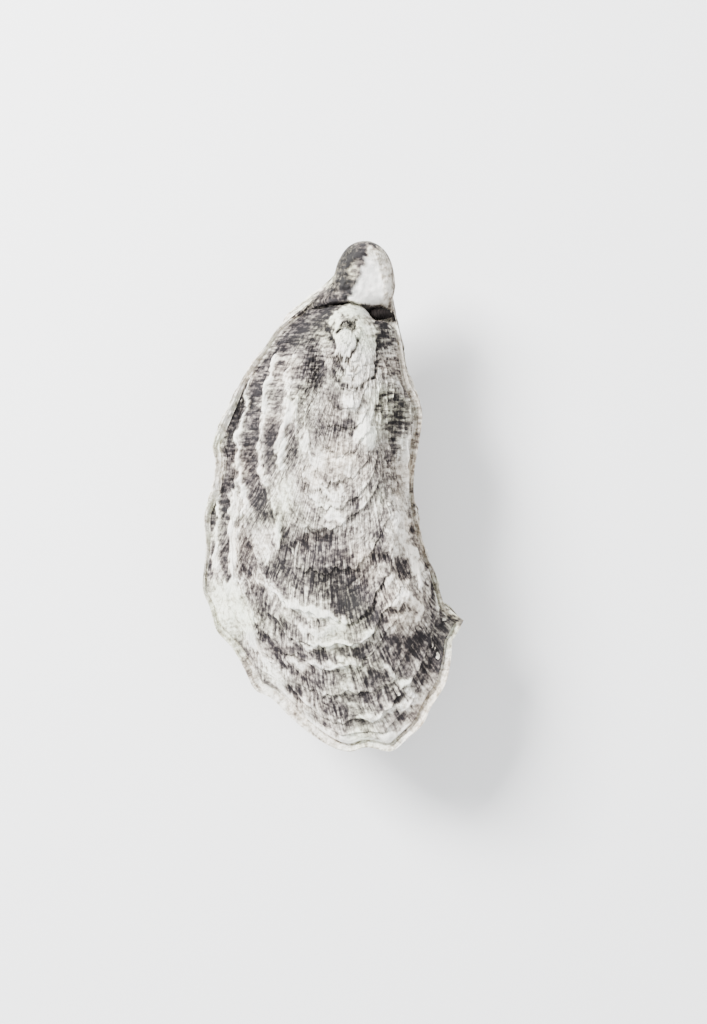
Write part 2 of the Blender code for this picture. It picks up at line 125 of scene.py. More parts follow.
class GrowthPlan:
    """One valve's growth rings in plan: narrow at the pole, bending left as they widen."""

    def __init__(self, edge, pole, bow, spur, first_fullness=1.0):
        self.pole, self.bow, self.spur = pole, bow, spur
        self.adult = np.stack([edge[:, 0] - middle(edge[:, 1], pole, bow), edge[:, 1] - pole[1]], axis=1)
        turns = np.fft.fftfreq(len(edge), 1 / len(edge))
        waves = np.fft.fft(self.adult[:, 0] + 1j * self.adult[:, 1])
        young = np.fft.ifft(waves * np.exp(-(turns / YOUNG_WAVES) ** 4))
        ends = [young.imag.min(), young.imag.max()]
        length = np.interp(young.imag, ends, [self.adult[:, 1].min(), self.adult[:, 1].max()])
        self.young = np.stack([young.real, length], axis=1)
        widest = np.abs(young.real).max()
        self.first_x = np.sign(young.real) * widest * np.abs(young.real / widest) ** first_fullness

    def ring(self, growth, tilt=0.0):
        """Rings for growth of any shape whose last axis is the stations, and their drop."""
        shape = self.young + growth[..., None] ** 2 * (self.adult - self.young)
        shape[..., 0] += np.exp(-(growth / FIRST_GROWTH) ** 2) * (self.first_x - self.young[:, 0])
        width = YOUNG_WIDTH + (1 - YOUNG_WIDTH) * growth + FLARE * np.exp(-growth / FLARE_GROWTH)
        y = self.pole[1] + growth * shape[..., 1] * np.cos(tilt)
        bend = 1 - (1 - growth) ** BEND_POWER
        x = growth * width * shape[..., 0] + middle(y, self.pole, self.bow, bend)
        born = np.clip((growth - SPUR_BORN) / (1 - SPUR_BORN), 0, 1)
        plan = np.stack([x, y], axis=-1) + born[..., None] * self.spur
        return plan, growth * shape[..., 1] * np.sin(tilt)


SEAM_WAVE_ALONG, SEAM_WAVE_ACROSS, SEAM_WAVE_START = 0.11, 0.045, 0.5
HINGE_Y = 40.0
SEAM_FADE = 16.0


def seam_level(plan, share=1.0):
    """The level where the valves meet: wavy at the edge, flat inside and at the hinge."""
    x, y = plan[..., 0], plan[..., 1]
    wave = np.sin(SEAM_WAVE_ALONG * y + SEAM_WAVE_ACROSS * x + SEAM_WAVE_START)
    return wave * share * ease((HINGE_Y - y) / SEAM_FADE)


outline = spread(closed_curve(OUTLINE), STATIONS)
spur_station = np.linalg.norm(outline - np.array(SPUR_TIP), axis=1).argmin()
station_step = np.linalg.norm(np.diff(outline, axis=0), axis=1).mean()
spur_steps = np.abs(np.arange(STATIONS) - spur_station) * station_step
spur = np.clip(1 - spur_steps / SPUR_REACH, 0, 1)[:, None] * (np.array(SPUR_TIP) - outline[spur_station])
turn_share = np.arange(STATIONS) / STATIONS
turn = np.stack([np.cos(2 * np.pi * turn_share), np.sin(2 * np.pi * turn_share)], axis=1)
cup_plan = GrowthPlan(outline, BEAK_POLE, LOWER_BOW, spur)


def around(count, level, seed):
    """Random swells round the shell, count to a turn, other ones at each level."""
    level = np.broadcast_to(np.asarray(level, float)[..., None], np.shape(level) + (STATIONS,))
    ring = np.broadcast_to(turn * count / (2 * np.pi), level.shape + (2,))
    return uneven(np.concatenate([ring, level[..., None]], axis=-1), 1.0, seed)


BEAK_TOP = 5.6
BEAK_UNDERSIDE = 2.6
BEAK_CREST = ((7.7, 57.0), (5.9, 45.0))
BEAK_BASE_Y = 41.0
BEAK_RUN = 4.6
BEAK_TIP_ROUNDING = 3.5
BEAK_RIB_SPACING, BEAK_LINE_SPACING = 1.7, 1.25
CREST_MARGIN = 0.2
FACET_POINT = (10.0, 51.0, 4.6)
FACET_SLOPE = (-0.20, 0.12)
PIT_CENTRE, PIT_RADII, PIT_DEPTH = (11.1, 42.2), (3.4, 2.3), 2.2
left_chain = outline[:STATIONS // 6][::-1]
right_chain = np.roll(outline, -1, axis=0)[-STATIONS // 6:]


def beak_round(plan):
    """How far the beak stands up, from 0 at its outline to 1 on its crest."""
    x, y = plan[..., 0], plan[..., 1]
    (top_x, top_y), (low_x, low_y) = BEAK_CREST
    crest = low_x + (top_x - low_x) * (y - low_y) / (top_y - low_y)
    left = np.minimum(np.interp(y, left_chain[:, 1], left_chain[:, 0]), crest - CREST_MARGIN)
    right = np.maximum(np.interp(y, right_chain[:, 1], right_chain[:, 0]), crest + CREST_MARGIN)
    on_left = x < crest
    away = np.where(on_left, (crest - x) / (crest - left), (x - crest) / (right - crest))
    bulge = (1 - np.clip(away, 0, 1) ** np.where(on_left, 1.7, 2.2)) ** 0.62
    tip = np.clip((outline[:, 1].max() - y) / BEAK_TIP_ROUNDING, 0, 1)
    return bulge * ease((y - BEAK_BASE_Y) / BEAK_RUN) * np.sqrt(1 - (1 - tip) ** 2)


def facet_level(plan):
    """The flat worn place on the beak's right side."""
    x, y, level = FACET_POINT
    return level + FACET_SLOPE[0] * (plan[..., 0] - x) + FACET_SLOPE[1] * (plan[..., 1] - y)


def beak_height(plan):
    """The beak above the rim, ribbed across and cut by the worn facet, and the hinge pit."""
    beak = BEAK_TOP * beak_round(plan)
    across = plan[..., 1] * 2 * np.pi / BEAK_RIB_SPACING + 2.4 * uneven(plan, 4.0, 30)
    rough = 0.16 * np.sin(across) + 0.24 * uneven(plan, 3.0, 31) + 0.14 * uneven(plan, 1.3, 32)
    ridged = beak + rough * ease(beak / 2)
    smooth = facet_level(plan) + 0.06 * uneven(plan, 3.5, 33)
    pit = mounds(plan, PIT_CENTRE, PIT_RADII)
    return np.minimum(ridged, np.maximum(smooth, 0)) * (1 - pit) - PIT_DEPTH * pit


BEAK_TURN = 0.12
CUP_FOLDS, CUP_FOLD_DEPTH = 9, 0.9
clear_of_beak = 1 - np.exp(-(np.minimum(turn_share, 1 - turn_share) / BEAK_TURN) ** 2)


def cup_surface(growth):
    """The cup's outside without its shingles."""
    plan, drop = cup_plan.ring(growth, CUP_TILT * (1 - growth) ** CUP_POWER)
    rim = (seam_level(plan) + RIM_LIFT) * growth ** 3
    folds = np.cos(2 * np.pi * CUP_FOLDS * turn_share + 1.3 * np.sin(4 * np.pi * turn_share))
    swell = CUP_FOLD_DEPTH * growth * (1 - growth) * 4 * clear_of_beak
    height = drop + rim - swell * folds - BEAK_UNDERSIDE * beak_round(plan)
    return np.concatenate([plan, height[..., None]], axis=-1)


LEFT_TURNS = (0.13, 0.19, 0.25, 0.31, 0.38, 0.44)
LIP_TURNS = (-0.40, -0.25, -0.10, 0.03, *LEFT_TURNS, 0.5, 0.6, 0.75, 0.90, 1.03)
ROUNDING_REACH, ROUNDING_WIDTH = 24, 9.0


def lip_growth(lip):
    """A lip's growth all round: one value at the bottom and right, six up the left."""
    bottom, left = lip
    between = bottom + 0.5 * (left[0] - bottom)
    levels = [bottom] * 3 + [between, *left] + [bottom] * 4 + [between]
    rounding = np.exp(-(np.arange(-ROUNDING_REACH, ROUNDING_REACH + 1) / ROUNDING_WIDTH) ** 2)
    stations = np.arange(-ROUNDING_REACH, STATIONS + ROUNDING_REACH)
    run = np.interp(stations / STATIONS, LIP_TURNS, levels)
    return np.convolve(run, rounding / rounding.sum(), "valid")


# Growth runs from 0 at the pole to 1 at the edge. RING_CROWDING is a power, FULL_LIP_ROOM
# is in millimetres, UNDERCUT is a growth to each millimetre of lip, and the rest are growths.
RING_CROWDING = 1.35
WIDEST_TEAR = 0.07
LEAST_STEP, LAST_STEP = 0.008, 0.007
FULL_LIP_ROOM = 3.0
UNDERCUT = 0.0028
FIRST_GROWN = 0.004
PROBE = 0.01


def grow_shingles(surface, lips, facing, ragged, seed):
    """The rings of all shingles: points, normals, growth, share of the shingle, lip height, speed."""
    growths, shares, heights = [], [], []
    edge_before = np.zeros(STATIONS)
    undercut = 0.0
    for index, (lip, height, rings) in enumerate(lips):
        level = lip[0]
        edge = lip_growth(lip)
        last = index == len(lips) - 1
        room = np.maximum(edge - edge_before, 0)
        wander = 0 if last else ragged * np.minimum(room, WIDEST_TEAR)
        tears = 0.6 * around(7, level * 40, seed) + 0.4 * around(26, level * 90, seed + 1)
        edge = edge + wander * (tears + 0.3 * around(80, level * 150, seed + 2))
        edge = np.maximum(edge, edge_before + LEAST_STEP)
        edge = np.minimum(edge, 1 - LAST_STEP * (len(lips) - 1 - index))
        patchy = 0.75 + 0.45 * around(6, level * 30, seed + 3) + 0.25 * around(22, level * 70, seed + 4)
        share = 1 - (1 - np.linspace(0, 1, rings)) ** RING_CROWDING
        foot = np.maximum(edge_before - undercut, FIRST_GROWN)
        growth = foot + share[:, None] * (edge - foot)
        reach = surface(np.stack([foot, edge]))
        room_mm = np.linalg.norm(reach[1] - reach[0], axis=-1)
        growths.append(growth)
        shares.append(np.broadcast_to(share[:, None], growth.shape))
        lip_height = height * np.clip(patchy, 0.25, 1.2) * np.clip(room_mm / FULL_LIP_ROOM, 0.12, 1)
        heights.append(lip_height * np.ones((rings, 1)))
        edge_before, undercut = edge, UNDERCUT * height
    growth, share, height = (np.concatenate(part) for part in (growths, shares, heights))
    growth = np.clip(growth, FIRST_GROWN, 1.0)
    here = surface(growth)
    outward = surface(np.minimum(growth + PROBE, 1.0)) - surface(np.maximum(growth - PROBE, 0.003))
    along = np.roll(here, -4, axis=1) - np.roll(here, 4, axis=1)
    normal = np.cross(outward, along) * facing
    normal /= np.maximum(np.linalg.norm(normal, axis=-1), 1e-9)[..., None]
    speed = np.linalg.norm(outward, axis=-1) / (2 * PROBE)
    return here, normal, growth, share, height, speed


def fine_shingles(places, growth, count, seed):
    """Small broken shingles between the main ones: their share, and how strong they are."""
    phase = growth * count + 1.5 * uneven(places, 17, seed) + 0.6 * uneven(places, 5, seed + 1)
    patches = ease((uneven(places, 11, seed + 2) + 0.25) / 0.7)
    strength = patches * ease(growth / 0.12) * ease((1 - growth) / 0.02)
    return phase - np.floor(phase), strength


def low_relief(places, growth, share, swells, ripples, lines, ribs, starts):
    """A valve's low relief. Swells and ripples are a height, a size and a seed, lines a height,
    a count, the size of their sway and a seed, ribs a height, a count and a seed, and starts
    the growths by which the swells and the ribs are full."""
    relief = swells[0] * uneven(places, *swells[1:]) + ripples[0] * uneven(places, *ripples[1:])
    relief *= ease(growth / starts[0])
    height, count, *sway = lines
    relief += height * np.sin(2 * np.pi * growth * count + 3 * uneven(places, *sway)) * ease(growth / 0.2)
    height, count, seed = ribs
    ribbed = around(count, growth[:, 0] * 4, seed) * ease(growth / starts[1])
    return relief + height * ribbed * (1 - 0.6 * share)


# Speeds are millimetres of shell for the whole growth.
ROOMY_SPEED = 38
SLOW_SPEED, SPEED_RANGE = 30, 60


def pace_of(speed):
    """From 0 where the shell grew slowly to 1 where it grew fast."""
    return ease((speed - SLOW_SPEED) / SPEED_RANGE)


def lip_profile(share):
    """A shingle in section: a long shallow rise, then a flared and rounded lip."""
    return (0.32 * share + 0.68 * share ** 4.5) * (1 - 0.16 * ease((share - 0.93) / 0.07))


EDGE_FADE = 0.012
# Each shingle's lip by its growth, its height and its number of rings.
CUP_LIPS = [
    (0.07, 0.4, 6), (0.13, 0.6, 7), (0.19, 0.8, 8), (0.26, 0.9, 9), (0.34, 1.1, 11), (0.42, 1.2, 11),
    (0.50, 1.3, 11), (0.58, 1.3, 11), (0.66, 1.4, 11), (0.74, 1.5, 11), (0.81, 1.4, 10), (0.87, 1.4, 9),
    (0.92, 1.2, 9), (0.955, 1.0, 8), (0.982, 0.7, 7), (1.0, 0.3, 5)]
cup_lips = [((lip, (lip,) * 6), height, rings) for lip, height, rings in CUP_LIPS]
outside, normal, growth, share, height, speed = grow_shingles(cup_surface, cup_lips, -1, 0.45, 50)
crowd = np.minimum(1, speed / ROOMY_SPEED)
relief = height * lip_profile(share) * crowd * ease((1.0 - growth) / 0.02 + 0.15)
relief += crowd * low_relief(outside, growth, share, swells=(0.30, 7.0, 60), ripples=(0.12, 2.6, 61),
                             lines=(0.10, 75, 20, 62), ribs=(0.16, 64, 63), starts=(0.10, 0.25))
small, strength = fine_shingles(outside, growth, 26, 67)
relief += 0.42 * strength * lip_profile(small) * crowd
relief *= ease((1.0 - growth) / EDGE_FADE) * (0.2 + 0.8 * clear_of_beak)
outside = outside + normal * relief[..., None]
outside[..., 2] = np.maximum(outside[..., 2], FOOT_LEVEL)

RIM_SHOWING, RIM_WAVE_DEPTH, RIM_WAVES = 1.5, 0.5, 5
RIM_SHOWING_AT_BOTTOM, BOTTOM_TURN, BOTTOM_REACH = 0.9, 0.5, 0.09
HINGE_EDGE = [
    (-6.2, 43.0), (-1.0, 44.1), (4.4, 44.4), (7.2, 43.4), (9.5, 40.6), (12.7, 40.0), (14.4, 38.6)]
UMBO = (4.0, 40.9)
UPPER_BOW = 10.8
SEAM_CENTRE_Y = -1.0
VALVE_GAP = 0.35
# Shares of the rim's width: a gap at the lid, then the beak's steep face.
HINGE_GAP, BEAK_FACE = 0.004, 0.020


def upper_edge():
    """The lid's edge: inside the lower rim, and cut off at the hinge."""
    along = np.roll(outline, -1, axis=0) - np.roll(outline, 1, axis=0)
    inward = np.stack([-along[:, 1], along[:, 0]], axis=1) / np.hypot(*along.T)[:, None]
    showing = (RIM_SHOWING + RIM_WAVE_DEPTH * np.sin(2 * np.pi * RIM_WAVES * turn_share + 1)
               + RIM_SHOWING_AT_BOTTOM * np.exp(-((turn_share - BOTTOM_TURN) / BOTTOM_REACH) ** 2))
    edge = outline + inward * showing[:, None]
    half = STATIONS // 2
    left, right = HINGE_EDGE[0], HINGE_EDGE[-1]
    start = np.nonzero((edge[:half, 1] < left[1]) & (edge[:half, 0] < left[0]))[0][0]
    end = half + np.nonzero((edge[half:, 1] < right[1]) & (edge[half:, 0] > right[0] - 2))[0][-1]
    path = np.vstack([edge[end], np.array(HINGE_EDGE)[::-1], edge[start]])
    count = start + STATIONS - end + 1
    edge[(end + np.arange(count)) % STATIONS] = spread(path, count, closed=False)
    return edge


lid_plan = GrowthPlan(upper_edge(), UMBO, UPPER_BOW, spur * 0.8, first_fullness=0.55)
lid_edge = lid_plan.ring(np.ones(STATIONS))[0]
cup_edge = cup_plan.ring(np.ones(STATIONS))[0]


def seam_rings(shares, level):
    """Rings on the seam, from near its middle out to the lid's edge."""
    off_middle = lid_edge[:, 0] - middle(lid_edge[:, 1], UMBO, UPPER_BOW)
    rings = []
    for share_out in shares:
        y = SEAM_CENTRE_Y + share_out * (lid_edge[:, 1] - SEAM_CENTRE_Y)
        plan = np.stack([share_out * off_middle + middle(y, UMBO, UPPER_BOW), y], axis=1)
        rings.append(np.column_stack([plan, seam_level(plan, share_out ** 2) + level]))
    return np.array(rings)


rim_share = np.concatenate([
    [0, 0.008, 0.016, 0.026], np.linspace(0.04, 0.92, 36), [0.95, 0.975, 0.99, 1.0]])
rim_plan = lid_edge + rim_share[:, None, None] * (cup_edge - lid_edge)
layers = rim_share[:, None] * (13 + 8 * around(9, 0.2, 69)) + 5 * around(7, 0.3, 70)
layers += uneven(rim_plan, 3, 75)
at_seam, at_rim = ease(rim_share / 0.1)[:, None], 1 - ease((rim_share - 0.85) / 0.15)[:, None]
rim_height = seam_level(rim_plan) + RIM_LIFT * ease(rim_share)[:, None]
flaky = 0.13 * np.sin(layers) * (0.4 + 0.6 * around(17, 0.6, 68)) + 0.20 * uneven(rim_plan, 2.0, 71)
rim_height += flaky * at_seam * at_rim
rim_height += beak_height(rim_plan) * ease((rim_share - HINGE_GAP) / BEAK_FACE)[:, None]
rim_rings = np.concatenate([rim_plan, rim_height[..., None]], axis=-1)
SEAM_SHARES = (0.35, 0.7, 0.9, 0.97)


def shell_mesh(name, first_pole, rings, last_pole, marks):
    """A ball whose rings are moved onto the given ones, with marks for the finish."""
    bands = len(rings) + 1
    ball = bmesh.new()
    bmesh.ops.create_uvsphere(ball, u_segments=STATIONS, v_segments=bands, radius=1)
    mesh = bpy.data.meshes.new(name)
    ball.to_mesh(mesh)
    ball.free()
    places = np.zeros(len(mesh.vertices) * 3)
    mesh.vertices.foreach_get("co", places)
    places = places.reshape(-1, 3)
    down = np.rint(np.arccos(np.clip(places[:, 2], -1, 1)) / np.pi * bands).astype(int)
    station = np.rint(np.arctan2(places[:, 1], places[:, 0]) / (2 * np.pi) * STATIONS)
    station = station.astype(int) % STATIONS
    first, last = (np.tile(pole, (1, STATIONS, 1)) for pole in (first_pole, last_pole))
    moved = (np.concatenate([first, rings, last])[down, station] - np.array([0, 0, FOOT_LEVEL])) * MM
    mesh.vertices.foreach_set("co", moved.ravel())
    for mark, values in marks.items():
        values = np.concatenate([values[:1], values, values[-1:]])[down, station].astype(np.float32)
        kind, field = ("FLOAT_VECTOR", "vector") if values.ndim == 2 else ("FLOAT", "value")
        mesh.attributes.new(mark, kind, "POINT").data.foreach_set(field, values.ravel())
    mesh.shade_smooth()
    mesh.update()
    piece = bpy.data.objects.new(name, mesh)
    bpy.context.scene.collection.objects.link(piece)
    return piece


# Dark and pale places on the beak and rim, among them painted shade in the crease beside the lid, in the
# hinge pit and on the right rim below the lid's edge: darkness, half-width, path.
CUP_STROKES = [
    (0.98, 2.6, ((3.8, 56.6), (2.8, 53.4), (2.4, 50), (0.6, 46.8), (-3, 44.4))),
    (0.86, 1.8, ((6.6, 57), (5.8, 53.6), (5, 49.6), (4, 46.6), (1.5, 45.2))),
    (0.8, 0.8, ((4.4, 57.4), (7.4, 58.4), (10.2, 58.3))),
    # Painted shade in the crease between the beak and the lid.
    (0.8, 1.1, ((-8.6, 41.6), (-5, 43.8), (-1.5, 45.4))),
    (0.58, 0.4, ((11.9, 57), (13.3, 54), (13.9, 50), (13.8, 47), (13.6, 44.6))),
    # Painted shade in the hinge pit round the ligament.
    (0.98, 1.5, ((7.8, 43.4), (10.5, 42.6), (13.6, 42))),
    # Painted shade on the right rim below the lid's edge.
    (0.3, 1.6, ((17.6, 30), (20.2, 18), (18.6, 6), (19.3, -4), (22.6, -16), (26.2, -27))),
    (0.62, 0.8, ((26.6, -28.6), (29.8, -28.9))),
    (0.36, 1.3, ((-20.6, -38.6), (-18, -43.4)))]
STROKE_COVER = 0.95
STROKE_MARGIN = 1.6


def painted(level, plan, strokes):
    """The level with each stroke laid over it, ragged at its edges."""
    ragged = 0.7 * np.stack([uneven(plan, 4.5, 76), uneven(plan, 4.5, 77)], axis=-1)
    ragged += 0.35 * np.stack([uneven(plan, 1.6, 78), uneven(plan, 1.6, 79)], axis=-1)
    plan = plan + ragged
    for darkness, half_width, path in strokes:
        path = np.array(path)
        distance = np.full(plan.shape[:-1], np.inf)
        margin = STROKE_MARGIN * half_width
        inside = ((plan > path.min(axis=0) - margin) & (plan < path.max(axis=0) + margin)).all(axis=-1)
        near = plan[inside]
        for start, line in zip(path[:-1], np.diff(path, axis=0)):
            along = np.clip((near - start) @ line / (line @ line), 0, 1)
            gap = np.linalg.norm(near - start - along[:, None] * line, axis=-1)
            distance[inside] = np.minimum(distance[inside], gap)
        cover = STROKE_COVER * np.exp(-(distance / half_width) ** 4)
        level = level + cover * (darkness - level)
    return level


beak_share = beak_round(rim_plan)
facet_depth = BEAK_TOP * beak_share - facet_level(rim_plan)
facet_mark = ease((facet_depth + 0.15 * uneven(rim_plan, 2.0, 72)) / 0.35) * (beak_share > 0)
rim_dirt_and_painted_light = painted(0.12 + 0.12 * uneven(rim_plan, 4, 73), rim_plan, CUP_STROKES)
# Darker next to the lid's edge: painted shade in the step under the lid.
rim_dirt_and_painted_light += 0.12 * ease(1 - rim_share / 0.25)[:, None]
beak_lines = rim_plan[..., 1] * 2 * np.pi / BEAK_LINE_SPACING + 2.2 * uneven(rim_plan, 4.0, 74)
rim_dirt_and_painted_light += 0.16 * np.sin(beak_lines) * beak_share
rim_dirt_and_painted_light = rim_dirt_and_painted_light * (1 - facet_mark) - 0.25 * facet_mark
cup_dirt_and_painted_light = 0.40 + 0.28 * uneven(outside, 22, 64) + 0.20 * uneven(outside, 7, 65)
# Paler on the small lips: painted highlight.
cup_dirt_and_painted_light -= 0.25 * strength * ease((small - 0.7) / 0.2)
cup_dirt_and_painted_light += 0.22 * around(15, growth[:, 0] * 2, 66)
# Darker at each shingle's foot, under the lip before it: painted shade; paler on the lip: painted
# highlight.
cup_dirt_and_painted_light += 0.16 * (1 - share) ** 2 - 0.42 * ease((share - 0.8) / 0.2)
rim_age = 1 + 0.04 * rim_share[:, None] - 0.012 * (rim_plan[..., 1] - HINGE_Y) * ease(2 * beak_share)
RIM_PACE = 0.972
seam = seam_rings(SEAM_SHARES, 0)
flat = np.zeros((len(seam), STATIONS))
cup_rings = np.concatenate([seam, rim_rings, outside[::-1]])
calm = np.concatenate([flat, 0.8 * ease(1.5 * beak_share), 0 * growth])
cup_marks = {
    "age": np.concatenate([flat, rim_age, growth[::-1]]),
    "turn": np.column_stack([turn, np.zeros(STATIONS)]) * (1 - calm)[..., None],
    "dirt": np.concatenate([flat + 0.2, rim_dirt_and_painted_light, cup_dirt_and_painted_light[::-1]]),
    "worn": np.concatenate([flat, facet_mark, 0 * growth]),
    "pace": np.concatenate([flat, 0 * rim_age + RIM_PACE, pace_of(speed)[::-1]])}
seam_middle = (middle(SEAM_CENTRE_Y, UMBO, UPPER_BOW), SEAM_CENTRE_Y, 0)
cup_pole = outside[0].mean(axis=0)
lower_valve = shell_mesh("cup_of_shell", seam_middle, cup_rings, cup_pole, cup_marks)


class Field:
    """A value that varies over a surface; Python's operators add Math nodes."""

    def __init__(self, finish, socket):
        self.finish, self.socket = finish, socket

    def math(self, operation, *values):
        inputs = dict(enumerate(values))
        return self.finish.add("ShaderNodeMath", {"operation": operation}, inputs)

    def __add__(self, other):
        return self.math("ADD", self, other)

    def __radd__(self, other):
        return self.math("ADD", other, self)

    def __sub__(self, other):
        return self.math("SUBTRACT", self, other)

    def __rsub__(self, other):
        return self.math("SUBTRACT", other, self)

    def __mul__(self, other):
        return self.math("MULTIPLY", self, other)

    def __rmul__(self, other):
        return self.math("MULTIPLY", other, self)

    def clamp(self):
        held = self.math("MAXIMUM", self, 0.0)
        return held.math("MINIMUM", held, 1.0)


class Finish:
    """A material whose nodes all come from one method."""

    def __init__(self, name):
        self.material = bpy.data.materials.new(name)
        self.material.use_nodes = True
        self.tree = self.material.node_tree
        self.shader = self.tree.nodes["Principled BSDF"]

    def add(self, kind, settings=None, values=None, output=0):
        node = self.tree.nodes.new(kind)
        for key, value in (settings or {}).items():
            if key == "stops":
                self.set_stops(node.color_ramp, value)
            else:
                setattr(node, key, value)
        for key, value in (values or {}).items():
            self.feed(node.inputs[key], value)
        return Field(self, node.outputs[output])

    def set_stops(self, ramp, stops):
        while len(ramp.elements) < len(stops):
            ramp.elements.new(0.5)
        for element, (position, colour) in zip(ramp.elements, stops):
            element.position = position
            element.color = (*colour, 1)

    def feed(self, socket, value):
        if isinstance(value, Field):
            self.tree.links.new(value.socket, socket)
        else:
            socket.default_value = value

    def mark(self, name, output="Fac"):
        return self.add("ShaderNodeAttribute", {"attribute_name": name}, output=output)

    def vector(self, operation, *values):
        inputs = dict(enumerate(values))
        return self.add("ShaderNodeVectorMath", {"operation": operation}, inputs)

    def grain(self, place, scale, detail=3.0, roughness=0.55, output="Fac"):
        values = {"Vector": place, "Scale": scale, "Detail": detail, "Roughness": roughness}
        return self.add("ShaderNodeTexNoise", {"noise_dimensions": "3D"}, values, output)

    def colours(self, level, stops):
        return self.add("ShaderNodeValToRGB", {"stops": stops}, {"Fac": level})

    def blend(self, factor, first, second, kind="MIX"):
        settings = {"data_type": "RGBA", "blend_type": kind}
        return self.add("ShaderNodeMix", settings, {0: factor, 6: first, 7: second}, output=2)


FRESH_SHELL = (0.88, 0.86, 0.82, 1)
SHELL_TINTS = [(0.36, (1.0, 0.95, 0.90)), (0.50, (1, 1, 1)), (0.64, (0.92, 0.97, 0.87))]
SWERVE = 0.05
RING_PLACE = (61.3, 27.7, 5.1)
BEAK_GRAIN = (330, 1350, 330)


def shell_finish(name, stops, roughness):
    """Chalky layered shell: fine growth lines, radial streaks, dirt, painted shade in the hollows and
    painted highlight on the lips.
    """
    finish = Finish(name)
    place = finish.add("ShaderNodeTexCoord", output="Object")
    age, dirt, worn, pace = (finish.mark(mark) for mark in ("age", "dirt", "worn", "pace"))
    turn_mark = finish.mark("turn", "Vector")
    outward = finish.add("ShaderNodeCombineXYZ", values={"Z": age})
    swerve = finish.grain(place, 130.0, 2.0, 0.5, output="Color")
    swerve = finish.vector("MULTIPLY_ADD", swerve, (SWERVE,) * 3, (-SWERVE / 2,) * 3)

    def ring_grain(turns, ages, detail=3.0):
        """Grain drawn out along the growth rings or across them."""
        marks = finish.vector("ADD", finish.vector("ADD", turn_mark, outward), swerve)
        marks = finish.vector("MULTIPLY_ADD", marks, (turns, turns, ages), RING_PLACE)
        return finish.grain(marks, 1.0, detail)

    def paced(slow, fast):
        """The first where the shell grew slowly and the second where it grew fast."""
        return slow + pace * (fast - slow)

    def swing(amount, texture):
        """A texture's swing to either side of its middle."""
        return amount * (texture - 0.5)

    growth_lines = paced(ring_grain(5, 46, 4.0), ring_grain(5, 95, 4.0))
    coarse_lines = paced(ring_grain(3, 13), ring_grain(3, 36))
    slow_ribs = finish.grain(finish.vector("MULTIPLY", place, BEAK_GRAIN), 1.0)
    ribs = paced(slow_ribs, ring_grain(52, 26))
    streaks = ring_grain(17, 7.0)
    blotches = finish.grain(place, 110, 4.0, 0.62)
    specks = finish.grain(place, 1100, 3.0, 0.6)
    clean = 1 - worn
    # Where the level is dark, from dirt and painted shade, the ribs and streaks show stronger.
    stained_and_shaded = (dirt * 1.5 + 0.15).clamp()
    lines = swing(0.85, growth_lines) + swing(0.5, coarse_lines)
    dark_streaks = stained_and_shaded * (swing(2.0, ribs) + swing(0.4, streaks))
    level = dirt + clean * (lines + dark_streaks + swing(0.5, blotches)) + swing(1.3, specks)
    colour = finish.colours(level.clamp(), stops)
    tints = finish.colours(finish.grain(place, 60, 2.0).clamp(), SHELL_TINTS)
    tinted = finish.blend(1.0, colour, tints, "MULTIPLY")
    finish.feed(finish.shader.inputs["Base Color"], finish.blend(worn * 0.85, tinted, FRESH_SHELL))
    dull = roughness - 0.22 * level.clamp() + swing(0.12, specks)
    finish.feed(finish.shader.inputs["Roughness"], dull)
    rough = (growth_lines * 0.30 + ribs * 0.26) * clean + blotches * 0.16 + specks * 0.20
    bump = finish.add("ShaderNodeBump", values={"Strength": 0.75, "Distance": 0.0015, "Height": rough})
    finish.feed(finish.shader.inputs["Normal"], bump)
    finish.shader.inputs["Specular IOR Level"].default_value = 0.14
    return finish.material


# From pale shell to near black: the dark end gives the dirt and the painted shade alike.
CUP_STOPS = [(0.0, (0.83, 0.80, 0.73)), (0.16, (0.60, 0.56, 0.48)), (0.38, (0.33, 0.290, 0.235)),
             (0.60, (0.125, 0.106, 0.094)), (0.85, (0.040, 0.034, 0.033)), (1.0, (0.016, 0.014, 0.015))]
lower_valve.data.materials.append(shell_finish("cup_shell_finish", CUP_STOPS, 0.88))
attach(lower_valve, "root")
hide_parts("lower_valve")

# The upper valve: a flat lid of layered shell that bears the drawing's
# ridges. Each shingle ends in a flared lip, made pale with painted highlight,
# over a hollow darkened with painted shade, and the right flank falls steeply
# with its growth lines crowded together.
EDGE_THICKNESS = 1.0
LID_HEIGHT = 13.5
LID_BUMPS = {
    "umbo": ((3.0, 36.3), (3.2, 5.5), 1.6),
    "umbo pit": ((3.7, 38.9), (2.0, 0.8), -1.2), "umbo arch": ((3.7, 39.9), (2.6, 0.7), 0.5),
    "upper crest": ((4.0, 21.1), (2.2, 1.7), 0.9),
    "mid crest": ((7.6, 13.7), (1.6, 4.0), 1.1),
    "left trough": ((-3.2, 28.0), (1.8, 4.5), -1.0),
    "shelf hollow": ((-2.5, -10.4), (7.0, 3.3), -1.9),
    "large hollow": ((4.9, -20.5), (7.4, 6.0), -2.2),
    "side pit": ((11.4, -14.1), (1.6, 1.6), -0.8),
    "side knob": ((16.6, -25.6), (4.0, 4.0), 2.4),
    "knob's dimple": ((15.4, -26.8), (1.6, 1.5), -1.6),
    "lit ledge": ((-2.9, -30.4), (5.0, 2.0), 0.8),
    "spur hollow": ((21.5, -34.0), (5.2, 6.0), -2.3)}
LID_RIDGES = {
    "shoulder ridge": ((13.3, -2.8), (20.9, -18.6), 1.4, 1.3),
    "shoulder groove": ((14.5, 18.6), (11.3, 11.4), 1.4, -0.9),
    "lower ridge": ((10.2, -37.7), (21.8, -48.4), 1.6, 1.3)}
